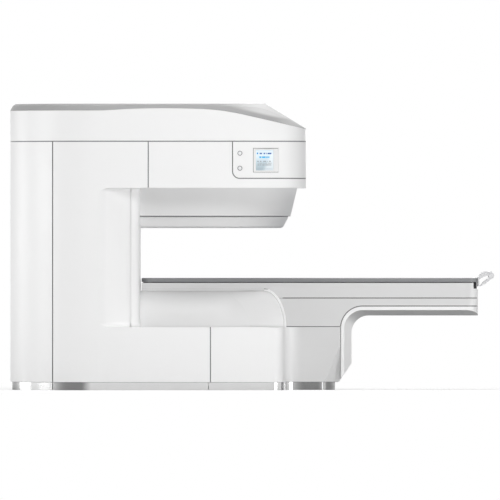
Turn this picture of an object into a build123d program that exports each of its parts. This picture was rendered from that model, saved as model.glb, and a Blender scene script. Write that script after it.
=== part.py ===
from build123d import *
import os
from math import atan2, cos, degrees, hypot, radians, sin, sqrt

# Open C-shaped magnetic resonance scanner with a cantilever patient table.
# All sizes are in millimetres. The origin is on the floor, straight below the centre of the
# imaging field: +X runs along the table to its foot end, +Z is up.

# Levels above the floor
PLINTH_H = 50
DECK_Z = 400
PATIENT_GAP = 400
LOWER_COVER_H = 229
UPPER_CAP_H = 74
UPPER_HOUSING_H = 180
PANEL_RISE = 60
ARM_WALL_H = 295
RIM_H = 198
RIM_CREST_H = 12
CROWN_H = 40

LOWER_COVER_Z = DECK_Z + LOWER_COVER_H
UPPER_FACE_Z = LOWER_COVER_Z + PATIENT_GAP
UPPER_SEAM_Z = UPPER_FACE_Z + UPPER_CAP_H
ARM_Z = UPPER_SEAM_Z + UPPER_HOUSING_H
PANEL_Z = ARM_Z + PANEL_RISE
TOP_SEAM_Z = ARM_Z + ARM_WALL_H
RIM_Z = TOP_SEAM_Z + RIM_H
CREST_Z = RIM_Z + RIM_CREST_H
CROWN_Z = RIM_Z + CROWN_H
ISO_Z = (LOWER_COVER_Z + UPPER_FACE_Z) / 2

# Plan of the magnet covers
HALF_W = 700
REAR_X = -1292
REAR_FLAT = 140
REAR_ROUND = 560
REAR_R = min(REAR_ROUND, HALF_W - REAR_FLAT)
NOSE_X = 587
NOSE_R = 300
REAR_SEAM_X = -1019
ARM_SEAM_X = -413
BASE_SEAM_X = -19
RECESS_X = -702
RECESS_R = 100
COLUMN_X = -467
COLUMN_INSET = 140
COLUMN_HALF_W = HALF_W - COLUMN_INSET
COLUMN_R = 70
COLUMN_SEAM_STEP = 56
COLUMN_SEAM_X = COLUMN_X - COLUMN_SEAM_STEP
BLEND_R = 24
BLEND_STEPS = 5
STEP_X = 448
STEP_R = 100

# Walls and gaps
WALL = 8
SEAM = 4
FIT = 0.3
CUT_MARGIN = 5
OVERRUN = 100
LIP_T = 4
LIP_H = 12

# Top cover: rim curve and sloping crown
CREST_X = -150
CREST_RISE_L = 250
RIM_FALL_X = 200
RIM_FALL = 0.23
SHOULDER_X = 327
BEVEL_LOW_SLOPE = 1.9
BEVEL_HIGH_SLOPE = 0.7
BEVEL_BREAK = 0.45
CROWN_EDGE = 3
NOSE_KNOT_ANGLES = (25, 45, 62, 77, 90)

# Pole covers
UPPER_R = 533
UPPER_SEAM_R = 489
CAP_R = 479
CAP_FACE_R = 441
CAP_EDGE_R = 30
CAP_REVEAL = 4
LOWER_R = 448
LOWER_TOP_R = 321
COVER_WALL = 6

# Magnet
YOKE_T = 240
YOKE_R = 460
YOKE_REAR_X = -1150
YOKE_COLUMN_X = -560
YOKE_COLUMN_INSET = 180
YOKE_COLUMN_HALF_W = HALF_W - YOKE_COLUMN_INSET
YOKE_CHAMFER = 120
POLE_HALF_GAP = 285
POLE_R = 390
POLE_T = 125
RING_T = 40
RING_H = 30
MAGNET_R = 400
MAGNET_T = 130
COIL_GAP = 5
RF_R = 356
RF_T = 30
RF_CARRIER_T = 18
RF_LOOP_RADII = (320, 214)
YOKE_BOLT_R = 21
YOKE_BOLT_HEAD_R = 34
YOKE_BOLT_HEAD_H = 26
YOKE_BOLT_DEPTH = 120
YOKE_BOLT_REAR = 150
YOKE_BOLT_FRONT = 110
YOKE_BOLT_Y = 330
YOKE_BOLT_ROWS = 4
FOOT_PAD_R = 70
FOOT_PAD_H = 25
FOOT_NECK_R = 30
FOOT_REAR_Y = 340
FOOT_MIDDLE_Y = 400
FOOT_FRONT_X = 200
FOOT_FRONT_Y = 280

# Cover frame
FRAME_T = 12
FRAME_WINDOW_L = 240
FRAME_WINDOW_W = 90
FRAME_WINDOW_R = 20
FRAME_EDGE = 10
FRAME_WINDOW_PITCH = 350
UPRIGHT_W = 40
UPRIGHT_T = 20
UPRIGHT_WALL = 3

# Stainless plinth
PLINTH_INSET = 12
PLINTH_T = 3
PLINTH_FRONT_X = 689
PLINTH_TOE_X = 699
PLINTH_END_X = 772

# Control panel
PANEL_X = 121
PANEL_R = 45
BUTTON_X = 168
BUTTON_HIGH_Z = 1502
BUTTON_LOW_Z = 1407
BUTTON_R = 11
BUTTON_TRAVEL = 3
BUTTON_PROUD = 5
BUTTON_RING_R = 15
BUTTON_RING_T = 2.5
BUTTON_EDGE_R = 1.5
BUTTON_COLLAR_R = 14
BUTTON_COLLAR_T = 3
SWITCH_T = 30
BEZEL_X0 = 251.5
BEZEL_W = 163
BEZEL_Z0 = 1380.5
BEZEL_Z1 = 1534.8
BEZEL_DEPTH = 30
BEZEL_SETBACK = 1
BEZEL_EDGE_R = 2
SCREEN_U0 = 18
SCREEN_U1 = 132
SCREEN_Z0 = 1392.6
SCREEN_Z1 = 1522.7
SCREEN_RECESS = 9
SCREEN_T = 4
DISPLAY_BOX_T = 35

# Rear service panel
SERVICE_HALF_W = 105
SERVICE_Z0 = 220
SERVICE_H = 1150
SERVICE_R = 20

# Table covers
TABLE_HALF_W = 300
TABLE_END_X = 1680
TABLE_END_R = 80
TABLE_WALL = 5
TABLE_SEAM_Z = 584
SHELL_SEAM_Z = 533
TOE_FACET_RISE = 90
TOE_FACET_DEPTH = 3.5
UNDERSIDE_Z = 473
SHELL_SEAM_X = 807
SHELL_FRONT_X = 877
SHELL_SEAM_R = 140
SHELL_R = 110
BEVEL_IN = 82
BEVEL_UP = 35
BEVEL_BACK = 48
BEVEL_TURN = 10
TOE_TOP_Z = 170
TOE_BOTTOM_X = 797
TOE_BEVEL_RISE = 236
TOE_BEVEL_REACH = 99
TOE_BEVEL_DEPTH = 45
BEAM_UNDER_Z = 633
BULKHEAD_T = 12
BULKHEAD_GAP = 3
LAP_REACH = 120
LAP_START_X = LOWER_TOP_R + LAP_REACH

# Tabletop
TOP_Z = 711
TOP_T = 25
TOP_SHADOW = 6
TOP_INSET = 30
TOP_HALF_W = TABLE_HALF_W - TOP_INSET
TOP_REAR_GAP = 10
TOP_RIM_W = 16
TOP_FLOOR_T = 9
TOP_EDGE_R = 5
TOP_CORNER_R = 60
TRAVEL = 700
PAD_CLEAR = 1
PAD_T = 15
PAD_EDGE_R = 4.5

# Table frame
POST_X0 = 560
POST_X1 = 760
POST_HALF_W = 180
BEAM_X0 = 490
BEAM_X1 = 1590
BEAM_HALF_W = 150
BEAM_Z = 548
BEAM_H = 72
RIB_XS = (500, 800, 1150, 1560)

# Slide
PLATE_T = 10
RAIL_INSET = 30
RAIL_Y = TOP_HALF_W - RAIL_INSET
RAIL_HEAD_W = 26
RAIL_WEB_W = 10
RAIL_HEAD_H = 10
SHOE_L = 90
SHOE_JAW = 8
SHOE_WALL = 5
SHOE_REAR_X = -380
SHOE_FRONT_X = 820
ROLLER_R = 14
ROLLER_W = 40
ROLLER_Y = 130
ROLLER_SHAFT_R = 5
ROLLER_BRACKET_T = 8
ROLLER_BRACKET_W = 28
ROLLER_BRACKET_GAP = 4
ROLLER_PLAY = 0.05
ROLLER_FIRST_X = -400
ROLLER_PITCH = 650
ROLLER_COUNT = 4
STOP_L = 25
SEAL_INSET = 8
SEAL_Y = TOP_HALF_W - SEAL_INSET
SEAL_T = 6
SEAL_GAP = 0.5

# Handle and end lip
HANDLE_HALF_W = 215
HANDLE_ARM_W = 26
HANDLE_REACH = 104
HANDLE_RISE = 42
HANDLE_DROP = 53
HANDLE_ROOT = 30
HANDLE_GRIP_W = 40
HANDLE_FLANGE_T = 8
LIP_X = 1656
LIP_W = 17
LIP_Z = 643
LIP_HALF_W = 225
LIP_HOOK_T = 5

TABLE_TOP_Z = TOP_Z - TOP_T - TOP_SHADOW
TOP_UNDER_Z = TOP_Z - TOP_T
INSIDE = WALL + FIT


# Helpers for profiles and solids
def ring_points(pairs):
    """Mirrors a list of (x, y) with y > 0 so that it closes round the X axis."""
    return pairs + [(x, -y) for x, y in reversed(pairs)]


def closed_face(points, radii):
    return make_face(FilletPolyline(*points, radius=radii, close=True))


def inset(face, amount):
    return offset(face, amount=-amount, kind=Kind.INTERSECTION) if amount else face


def prism(face, z0, z1):
    return extrude(Pos(0, 0, z0) * face, amount=z1 - z0)


def block(x0, x1, y0, y1, z0, z1):
    return Pos((x0 + x1) / 2, (y0 + y1) / 2, (z0 + z1) / 2) * Box(x1 - x0, y1 - y0, z1 - z0)


def side_cut(face, half_width):
    """Extrudes a face drawn in X and Z to both sides of the middle plane."""
    return extrude(Plane.XZ * face, amount=half_width, both=True)


def cylinder_z(radius, z0, z1, x=0, y=0):
    return Pos(x, y, (z0 + z1) / 2) * Cylinder(radius, z1 - z0)


def cylinder_y(radius, y0, y1, x, z):
    return Pos(x, (y0 + y1) / 2, z) * Rot(90, 0, 0) * Cylinder(radius, abs(y1 - y0))


def both_sides(solid):
    return solid + mirror(solid, about=Plane.XZ)


def upper_only(solid):
    """The same solid turned over about the level of the imaging centre."""
    return mirror(solid, about=Plane(origin=(0, 0, ISO_Z), z_dir=(0, 0, 1)))


# Plans of the covers
def arm_plan():
    points = ring_points([(REAR_X, HALF_W), (NOSE_X, HALF_W)])
    return closed_face(points, [REAR_R, NOSE_R, NOSE_R, REAR_R])


def column_plan():
    points = ring_points([(REAR_X, HALF_W), (RECESS_X, HALF_W), (COLUMN_X, COLUMN_HALF_W)])
    radii = [REAR_R, RECESS_R, COLUMN_R]
    return closed_face(points, radii + radii[::-1])


def column_blend(level, turn):
    """Concave quarter round between the column and a level face; turn is 1 above it, -1 below."""
    faces = []
    for step in range(BLEND_STEPS + 1):
        angle = radians(90 * step / BLEND_STEPS)
        rise, spread = BLEND_R * (1 - cos(angle)), BLEND_R * (1 - sin(angle))
        faces.append(Pos(0, 0, level + turn * rise) * inset(column_plan(), -spread))
    blend = Part() + [loft([low, high], ruled=True) for low, high in zip(faces, faces[1:])]
    return blend & prism(arm_plan(), DECK_Z, ARM_Z)


def base_plan(front_x):
    half = [(REAR_X, HALF_W), (STEP_X, HALF_W), (STEP_X, TABLE_HALF_W), (front_x, TABLE_HALF_W)]
    radii = [REAR_R, STEP_R, STEP_R, 0]
    return closed_face(ring_points(half), radii + radii[::-1])


def magnet_block(depth, floor_z):
    """The whole C-shaped body, with every outer wall moved inwards by depth."""
    base = prism(inset(base_plan(SHELL_SEAM_X), depth), floor_z, DECK_Z - depth)
    column = prism(inset(column_plan(), depth), floor_z, TOP_SEAM_Z)
    arm = prism(inset(arm_plan(), depth), ARM_Z + depth, TOP_SEAM_Z)
    return base + column + arm


def toe_cut(depth=0):
    """Everything in front of the toe's slanting face, with that face moved back by depth."""
    rise, run = TOE_TOP_Z - PLINTH_H, SHELL_FRONT_X - TOE_BOTTOM_X
    back = depth * hypot(rise, run) / rise
    far = SHELL_FRONT_X + HALF_W
    x_high = SHELL_FRONT_X - back + run
    points = [(TOE_BOTTOM_X - back - run, PLINTH_H - rise), (x_high, TOE_TOP_Z + rise)]
    points += [(far, TOE_TOP_Z + rise), (far, PLINTH_H - rise)]
    return side_cut(make_face(Polyline(*points, close=True)), HALF_W)


# Magnet covers
def cover_shell():
    cavity = magnet_block(WALL, 0) + block(
        SHELL_SEAM_X - WALL * 2, SHELL_SEAM_X + WALL, -TABLE_HALF_W + WALL, TABLE_HALF_W - WALL,
        0, DECK_Z - WALL,
    )
    outer = magnet_block(0, PLINTH_H + SEAM / 2)
    lower = column_blend(DECK_Z, 1) - nose_body(rectangle_profile(LOWER_R, DECK_Z, DECK_Z + BLEND_R))
    upper = column_blend(ARM_Z, -1) - nose_body(rectangle_profile(UPPER_R, ARM_Z - BLEND_R, ARM_Z))
    return (outer + lower + upper) - cavity


def pole_holes():
    """Open the deck and the arm's underside where the pole covers stand."""
    deck = nose_body(rectangle_profile(LOWER_R - COVER_WALL - WALL, DECK_Z - 2 * WALL, DECK_Z + WALL))
    arm = nose_body(rectangle_profile(UPPER_R - COVER_WALL - WALL, ARM_Z - WALL, ARM_Z + 2 * WALL))
    return deck + arm


def rear_cover(shell):
    body = shell & block(REAR_X - 1, REAR_SEAM_X - SEAM / 2, -HALF_W, HALF_W, 0, TOP_SEAM_Z - SEAM / 2)
    hole = service_opening(0)
    back = block(
        REAR_X + WALL - 1, REAR_X + WALL + LIP_T, -SERVICE_HALF_W - LIP_H, SERVICE_HALF_W + LIP_H,
        SERVICE_Z0 - LIP_H, SERVICE_Z0 + SERVICE_H + LIP_H,
    )
    window = block(
        REAR_X, REAR_X + WALL + LIP_T + 1, -SERVICE_HALF_W + LIP_H, SERVICE_HALF_W - LIP_H,
        SERVICE_Z0 + LIP_H, SERVICE_Z0 + SERVICE_H - LIP_H,
    )
    return body + back - hole - window


def service_opening(gap):
    width = 2 * (SERVICE_HALF_W - gap)
    face = RectangleRounded(width, SERVICE_H - 2 * gap, SERVICE_R - gap)
    frame = Plane(origin=(REAR_X - 1, 0, SERVICE_Z0 + SERVICE_H / 2), x_dir=(0, 1, 0), z_dir=(1, 0, 0))
    return extrude(frame * face, amount=WALL + 1)


def rear_service_panel():
    panel = service_opening(SEAM / 2) & block(REAR_X, 0, -HALF_W, HALF_W, 0, CROWN_Z)
    grip = service_grip()
    return panel - grip


def service_grip():
    """A shallow finger hollow near the panel's top edge."""
    z = SERVICE_Z0 + SERVICE_H - 3 * SERVICE_R
    return Pos(REAR_X - WALL, 0, z) * Rot(90, 0, 0) * Cylinder(1.5 * WALL, SERVICE_HALF_W)


def magnet_side_cover(shell, side):
    """One C-shaped side: base, tapered column side and the rear of the arm."""
    y0, y1 = (-HALF_W, -SEAM / 2) if side < 0 else (SEAM / 2, HALF_W)
    x0 = REAR_SEAM_X + SEAM / 2
    column_end = COLUMN_SEAM_X - SEAM / 2
    base = block(x0, BASE_SEAM_X - SEAM / 2, y0, y1, 0, DECK_Z)
    column = block(x0, column_end, y0, y1, DECK_Z, ARM_Z)
    arm = block(x0, ARM_SEAM_X - SEAM / 2, y0, y1, ARM_Z, TOP_SEAM_Z - SEAM / 2)
    return shell & (base + column + arm)


def column_cover(shell):
    """The inner face of the column, with its two rounded corners."""
    x0 = COLUMN_SEAM_X + SEAM / 2
    return shell & block(x0, COLUMN_X + 1, -HALF_W, HALF_W, DECK_Z, ARM_Z)


def base_front_cover(shell):
    front_x = SHELL_SEAM_X - SEAM / 2
    front = shell & block(BASE_SEAM_X + SEAM / 2, front_x, -HALF_W, HALF_W, 0, DECK_Z)
    corner = prism(base_plan(SHELL_SEAM_X), PLINTH_H + SEAM / 2, DECK_Z)
    corner = corner & block(STEP_X, front_x, -TABLE_HALF_W, TABLE_HALF_W, 0, DECK_Z)
    facets = (corner & pedestal_bevels(WALL)) - toe_cut()
    post_hole = block(
        POST_X0 - WALL, POST_X1 + WALL, -POST_HALF_W - WALL, POST_HALF_W + WALL, DECK_Z - 2 * WALL, DECK_Z
    )
    return (front - toe_cut() - post_hole + facets) - pedestal_bevels(0)


def pedestal_bevels(depth):
    """Space outside the slanting planes of the pedestal's lower corners, moved in by depth."""
    x, y, z = SHELL_SEAM_X, -TABLE_HALF_W, PLINTH_H
    a = Vector(x, y, z + TOE_BEVEL_RISE)
    b = Vector(x - TOE_BEVEL_REACH, y, z)
    c = Vector(x, y + TOE_BEVEL_DEPTH, z)
    normal = (b - a).cross(c - a).normalized()
    if normal.Y > 0:
        normal = normal * -1
    plane = Plane(origin=a - normal * depth, z_dir=normal)
    slab = extrude(plane * Rectangle(2 * HALF_W, 2 * HALF_W), amount=HALF_W)
    near = block(
        x - 2 * TOE_BEVEL_REACH, x + TOE_BEVEL_REACH, y - 1, y + 2 * TOE_BEVEL_DEPTH,
        0, z + TOE_BEVEL_RISE + TOE_BEVEL_REACH,
    )
    return both_sides(slab & near)


def panel_region(gap):
    """The control fascia's outline seen from the side, grown by gap."""
    x0, z0 = PANEL_X - gap, PANEL_Z - gap
    x1, z1 = NOSE_X + OVERRUN, TOP_SEAM_Z + OVERRUN
    radii = [PANEL_R + gap, 0, 0, 0]
    face = closed_face([(x0, z0), (x1, z0), (x1, z1), (x0, z1)], radii)
    return side_cut(face, HALF_W + CUT_MARGIN)


def arm_front_cover(shell):
    arm = shell & block(ARM_SEAM_X + SEAM / 2, NOSE_X + 1, -HALF_W, HALF_W, ARM_Z, TOP_SEAM_Z - SEAM / 2)
    return arm - panel_region(0)


def control_fascia(shell):
    band = shell & block(0, NOSE_X + 1, -HALF_W, HALF_W, ARM_Z, TOP_SEAM_Z - SEAM / 2)
    fascia = band & panel_region(-SEAM / 2)
    tabs = fascia_tabs()
    hole = display_block(0, BEZEL_W, -4 * WALL, 4 * WALL, BEZEL_Z0, BEZEL_Z1)
    fascia = fascia + tabs - hole
    for z in (BUTTON_HIGH_Z, BUTTON_LOW_Z):
        fascia = fascia - cylinder_y(BUTTON_R + FIT, -HALF_W - 1, -HALF_W + WALL + 1, BUTTON_X, z)
    return fascia


def fascia_tabs():
    """A ledge behind the fascia's lower edge, which laps the cover below it."""
    plan = inset(arm_plan(), INSIDE) - inset(arm_plan(), INSIDE + LIP_T)
    lap = prism(plan, PANEL_Z - LIP_H, PANEL_Z + LIP_H)
    web = inset(arm_plan(), WALL - 1) - inset(arm_plan(), INSIDE + LIP_T)
    root = prism(web, PANEL_Z + SEAM / 2, PANEL_Z + LIP_H)
    return (lap + root) & block(PANEL_X + PANEL_R, NOSE_X, -HALF_W, HALF_W, 0, CROWN_Z)


# Top cover and crown
def rim_height(x):
    """Height of the rim on the wall: level at the rear, a low crest, then a long fall."""
    rise_x = REAR_X + REAR_R
    if x <= CREST_X:
        share = min(1, max(0, (x - rise_x) / CREST_RISE_L))
        return RIM_Z + RIM_CREST_H * share * share * (3 - 2 * share)
    if x <= RIM_FALL_X:
        return CREST_Z - RIM_FALL * (x - CREST_X) ** 2 / (2 * (RIM_FALL_X - CREST_X))
    return CREST_Z - RIM_FALL * ((RIM_FALL_X - CREST_X) / 2 + x - RIM_FALL_X)


def roof_height(x):
    """Height of the crown on the middle line: level, then a straight slope to the nose."""
    share = max(0, (x - SHOULDER_X) / (NOSE_X - SHOULDER_X))
    return CROWN_Z - (CROWN_Z - rim_height(NOSE_X)) * share


def rim_knots(lift_share, slope):
    """Points of a rim line, seen from the side, for a face that rises inwards at slope."""
    rise_x = REAR_X + REAR_R
    corner_x = NOSE_X - NOSE_R
    straight = [rise_x, rise_x + CREST_RISE_L / 2, rise_x + CREST_RISE_L, CREST_X]
    straight += [(CREST_X + RIM_FALL_X) / 2, RIM_FALL_X, corner_x]
    places = [(x, 0) for x in straight]
    for angle in NOSE_KNOT_ANGLES:
        turn = radians(angle)
        places.append((corner_x + NOSE_R * sin(turn), NOSE_R * (1 - cos(turn))))
    knots = []
    for x, inwards in places:
        rise = lift_share * (roof_height(x) - rim_height(x))
        knots.append((x, rim_height(x) + rise - inwards * slope))
    return knots


def bevel_solid(depth, lift_share, slope):
    """Space below one sloping side face of the crown, moved in by depth."""
    half_w = HALF_W + CUT_MARGIN
    drop = CUT_MARGIN * slope + depth * hypot(1, slope)
    knots = [(x, z - drop) for x, z in rim_knots(lift_share, slope)]
    rim = Spline(*knots, tangents=[(1, 0), (0, -1)])
    low = -2 * HALF_W * slope
    x_back, x_far = knots[0][0] - CUT_MARGIN, knots[-1][0] + CUT_MARGIN
    sides = Polyline(
        knots[-1], (x_far, knots[-1][1]), (x_far, low), (x_back, low), (x_back, knots[0][1]), knots[0]
    )
    frame = Plane(origin=(0, -half_w, 0), x_dir=(1, 0, 0), z_dir=(0, -1, 0))
    face = frame * make_face([rim, sides])
    return extrude(face, amount=hypot(1, slope) * 2 * half_w, dir=(0, 1, slope))


def rear_half_face(depth):
    front_x = REAR_X + REAR_R + CUT_MARGIN
    half_w = HALF_W - depth
    points = ring_points([(REAR_X + depth, half_w), (front_x, half_w)])
    radius = REAR_R - depth
    return closed_face(points, [radius, 0, 0, radius])


def lid_levels(depth):
    """Heights and insets where the lid's rear half changes slope, for faces moved in by depth."""
    low = RIM_Z - depth * hypot(1, BEVEL_LOW_SLOPE)
    high = RIM_Z + BEVEL_BREAK * (CROWN_Z - RIM_Z) - depth * hypot(1, BEVEL_HIGH_SLOPE)
    run_break = (high - low) / (BEVEL_LOW_SLOPE - BEVEL_HIGH_SLOPE)
    run_roof = (CROWN_Z - depth - high) / BEVEL_HIGH_SLOPE
    rim = (low + BEVEL_LOW_SLOPE * depth, depth)
    return [rim, (low + BEVEL_LOW_SLOPE * run_break, run_break), (CROWN_Z - depth, run_roof)]


def cap_block(depth, z0):
    """Everything under the top surface, with walls and roof moved in by depth."""
    rear_x = REAR_X + REAR_R
    roof = CROWN_Z - depth
    plan = inset(arm_plan(), depth)
    levels = lid_levels(depth)
    rear = prism(plan, z0, levels[0][0])
    for (z_from, in_from), (z_to, in_to) in zip(levels, levels[1:]):
        faces = [Pos(0, 0, z_from) * rear_half_face(in_from), Pos(0, 0, z_to) * rear_half_face(in_to)]
        rear = rear + loft(faces, ruled=True)
    rear = rear & block(REAR_X - 1, rear_x, -HALF_W, HALF_W, 0, CROWN_Z)
    roof_line = [(rear_x, roof), (SHOULDER_X, roof), (NOSE_X, rim_height(NOSE_X) - depth)]
    roof_line += [(NOSE_X, 0), (rear_x, 0)]
    front = prism(plan, z0, roof) & side_cut(make_face(Polyline(*roof_line, close=True)), HALF_W)
    for lift_share, slope in ((0, BEVEL_LOW_SLOPE), (BEVEL_BREAK, BEVEL_HIGH_SLOPE)):
        bevel = bevel_solid(depth, lift_share, slope)
        front = front & bevel & mirror(bevel, about=Plane.XZ)
    return rear + front


def rim_cut(lift):
    """Space below the parting line between the rim wall and the crown."""
    knots = [(x, z - CROWN_EDGE + lift) for x, z in rim_knots(0, 0)]
    line = Spline(*knots, tangents=[(1, 0), (1, -RIM_FALL)])
    far_x, back_x = NOSE_X + WALL, REAR_X - WALL
    end_z = knots[-1][1]
    path = Polyline(
        knots[-1], (far_x, end_z - WALL * RIM_FALL), (far_x, 0), (back_x, 0), (back_x, knots[0][1]), knots[0]
    )
    return side_cut(make_face([line, path]), HALF_W + WALL)


def top_cover():
    """Wall of the top cover, up to the rim line that the crown closes."""
    z0 = TOP_SEAM_Z + SEAM / 2
    ring = prism(arm_plan(), z0, CROWN_Z) - prism(inset(arm_plan(), WALL), z0, CROWN_Z)
    return ring & rim_cut(0)


def crown():
    """Lid of the top cover: level top, falling front and sloping edges all round."""
    outer = cap_block(0, TOP_SEAM_Z)
    inner = cap_block(WALL, TOP_SEAM_Z)
    return outer - inner - rim_cut(FIT)


# Pole covers
def nose_body(profile):
    """Spins a half profile round the nose and runs it straight back to the column."""
    half = Rot(0, 0, -90) * (Plane.XZ * profile)
    nose = revolve(half, axis=Axis.Z, revolution_arc=180)
    back = extrude(half, amount=COLUMN_X + FIT, dir=(1, 0, 0))
    other = extrude(mirror(half, about=Plane.XZ), amount=COLUMN_X + FIT, dir=(1, 0, 0))
    return nose + back + other


def rectangle_profile(radius, z0, z1):
    return make_face(Polyline((0, z0), (radius, z0), (radius, z1), (0, z1), close=True))


def upper_housing_profile(wall):
    r0, r1 = UPPER_SEAM_R - wall, UPPER_R - wall
    z0, z1 = UPPER_SEAM_Z, ARM_Z
    return make_face(Polyline((0, z0), (r0, z0), (r1, z1), (0, z1), close=True))


def upper_pole_housing():
    shell = nose_body(upper_housing_profile(0)) - nose_body(upper_housing_profile(COVER_WALL))
    ledge = rectangle_profile(UPPER_SEAM_R - COVER_WALL / 2, UPPER_SEAM_Z, UPPER_SEAM_Z + LIP_T)
    hole = rectangle_profile(CAP_R - COVER_WALL, UPPER_SEAM_Z - 1, UPPER_SEAM_Z + LIP_T + 1)
    return shell + nose_body(ledge) - nose_body(hole)


def cap_profile(wall):
    z_top = UPPER_SEAM_Z
    z_face = UPPER_FACE_Z + wall
    points = [(0, z_top), (CAP_R - wall, z_top), (CAP_FACE_R - wall, z_face), (0, z_face)]
    return closed_face(points, [0, 0, CAP_EDGE_R - wall, 0])


def upper_pole_cap():
    """Lower cap, with a set-back neck that passes through the housing's floor."""
    outer = nose_body(cap_profile(0))
    z_neck = UPPER_SEAM_Z - CAP_REVEAL
    reveal = nose_body(rectangle_profile(UPPER_R, z_neck, UPPER_SEAM_Z))
    neck_r = CAP_R - COVER_WALL - FIT
    neck = nose_body(rectangle_profile(neck_r, z_neck - COVER_WALL, UPPER_SEAM_Z + LIP_T))
    root = nose_body(rectangle_profile(CAP_R, z_neck - LIP_H, z_neck)) & outer
    bore = nose_body(rectangle_profile(CAP_R - 3 * COVER_WALL, z_neck - 2 * LIP_H, ARM_Z))
    shell = outer - reveal - nose_body(cap_profile(COVER_WALL))
    return shell + ((neck + root) - bore)


def lower_profile(wall):
    rx, rz = LOWER_R - LOWER_TOP_R - wall, LOWER_COVER_H - wall
    arc = EllipticalCenterArc((LOWER_TOP_R, DECK_Z), rx, rz, 0, arc_size=90)
    sides = Polyline((LOWER_TOP_R, DECK_Z + rz), (0, DECK_Z + rz), (0, DECK_Z), (LOWER_TOP_R + rx, DECK_Z))
    return make_face([arc, sides])


def lower_pole_cover():
    return nose_body(lower_profile(0)) - nose_body(lower_profile(COVER_WALL))


# Magnet
def yoke_plate_plan():
    rear = closed_face(
        [
            (YOKE_REAR_X, -YOKE_COLUMN_HALF_W + YOKE_CHAMFER),
            (YOKE_REAR_X + YOKE_CHAMFER, -YOKE_COLUMN_HALF_W),
            (YOKE_COLUMN_X, -YOKE_COLUMN_HALF_W),
            (YOKE_COLUMN_X, YOKE_COLUMN_HALF_W),
            (YOKE_REAR_X + YOKE_CHAMFER, YOKE_COLUMN_HALF_W),
            (YOKE_REAR_X, YOKE_COLUMN_HALF_W - YOKE_CHAMFER),
        ],
        0,
    )
    neck = Pos(YOKE_COLUMN_X / 2 - WALL, 0) * Rectangle(abs(YOKE_COLUMN_X) + 2 * WALL, 2 * YOKE_R)
    return rear, rear + neck + Circle(YOKE_R)


def bolt_places():
    middle = (YOKE_REAR_X + YOKE_COLUMN_X) / 2
    xs = (YOKE_REAR_X + YOKE_BOLT_REAR, middle, YOKE_COLUMN_X - YOKE_BOLT_FRONT)
    pitch = 2 * YOKE_BOLT_Y / (YOKE_BOLT_ROWS - 1)
    return [(x, -YOKE_BOLT_Y + pitch * row) for x in xs for row in range(YOKE_BOLT_ROWS)]


def yoke_parts():
    column_face, plate_face = yoke_plate_plan()
    low = ISO_Z - POLE_HALF_GAP - POLE_T - MAGNET_T
    base = prism(plate_face, low - YOKE_T, low)
    column = prism(column_face, low, upper_level(low))
    top = upper_only(base)
    holes = Part() + [
        cylinder_z(YOKE_BOLT_R + FIT, upper_level(low) - YOKE_BOLT_DEPTH - 2, CROWN_Z, x, y)
        for x, y in bolt_places()
    ]
    return base, column - holes, top - holes


def upper_level(z):
    return 2 * ISO_Z - z


def yoke_bolts():
    low = ISO_Z - POLE_HALF_GAP - POLE_T - MAGNET_T
    seat = upper_level(low) + YOKE_T
    solids = []
    for x, y in bolt_places():
        head = Pos(x, y, seat) * extrude(RegularPolygon(YOKE_BOLT_HEAD_R, 6), amount=YOKE_BOLT_HEAD_H)
        shank = cylinder_z(YOKE_BOLT_R, upper_level(low) - YOKE_BOLT_DEPTH, seat, x, y)
        solids.append(head + shank)
    return Compound(children=[solid.solid() for solid in solids])


def magnet_disc():
    back = ISO_Z - POLE_HALF_GAP - POLE_T
    return cylinder_z(MAGNET_R, back - MAGNET_T, back)


def pole_piece():
    face = ISO_Z - POLE_HALF_GAP
    plate = cylinder_z(POLE_R, face - POLE_T, face)
    ring = cylinder_z(POLE_R, face, face + RING_H) - cylinder_z(POLE_R - RING_T, face, face + RING_H)
    return plate + ring


def gradient_coil():
    face = ISO_Z - POLE_HALF_GAP
    disc = cylinder_z(POLE_R - RING_T - COIL_GAP, face, face + RING_H)
    return disc - cylinder_z(COIL_GAP * 4, face, face + RING_H)


def rf_coil():
    """Transmit coil: a round carrier with its two loop conductors raised on it."""
    seat = ISO_Z - POLE_HALF_GAP + RING_H
    carrier = cylinder_z(RF_R, seat, seat + RF_CARRIER_T)
    loops = []
    for radius in RF_LOOP_RADII:
        outer = cylinder_z(radius, seat, seat + RF_T)
        loops.append(outer - cylinder_z(radius - RF_T, seat, seat + RF_T))
    return carrier + loops


def levelling_feet():
    """Foot pads under the yoke; the middle one stands below the imaging centre."""
    low = ISO_Z - POLE_HALF_GAP - POLE_T - MAGNET_T - YOKE_T
    rear_x = YOKE_REAR_X + 1.5 * YOKE_CHAMFER
    places = [(0, 0)]
    for x, y in ((rear_x, FOOT_REAR_Y), (YOKE_COLUMN_X, FOOT_MIDDLE_Y), (FOOT_FRONT_X, FOOT_FRONT_Y)):
        places += [(x, -y), (x, y)]
    feet = []
    for x, y in places:
        pad = cylinder_z(FOOT_PAD_R, 0, FOOT_PAD_H, x, y)
        feet.append((pad + cylinder_z(FOOT_NECK_R, FOOT_PAD_H, low, x, y)).solid())
    return Compound(children=feet)


# Frames behind the covers
def base_frame():
    plan = inset(base_plan(SHELL_SEAM_X), INSIDE)
    _, yoke = yoke_plate_plan()
    plate = prism(plan, PLINTH_H, PLINTH_H + FRAME_T) - prism(yoke, 0, DECK_Z)
    plate = plate - block(SHELL_SEAM_X - 2 * WALL, SHELL_FRONT_X, -HALF_W, HALF_W, 0, DECK_Z)
    return plate - frame_windows(0, PLINTH_H) - pedestal_bevels(INSIDE)


def top_frame():
    plan = inset(arm_plan(), INSIDE)
    _, yoke = yoke_plate_plan()
    plate = prism(plan, TOP_SEAM_Z - FRAME_T / 2, TOP_SEAM_Z + FRAME_T / 2) - prism(yoke, 0, CROWN_Z)
    return plate - frame_windows(-UPRIGHT_W, TOP_SEAM_Z - FRAME_T)


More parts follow.
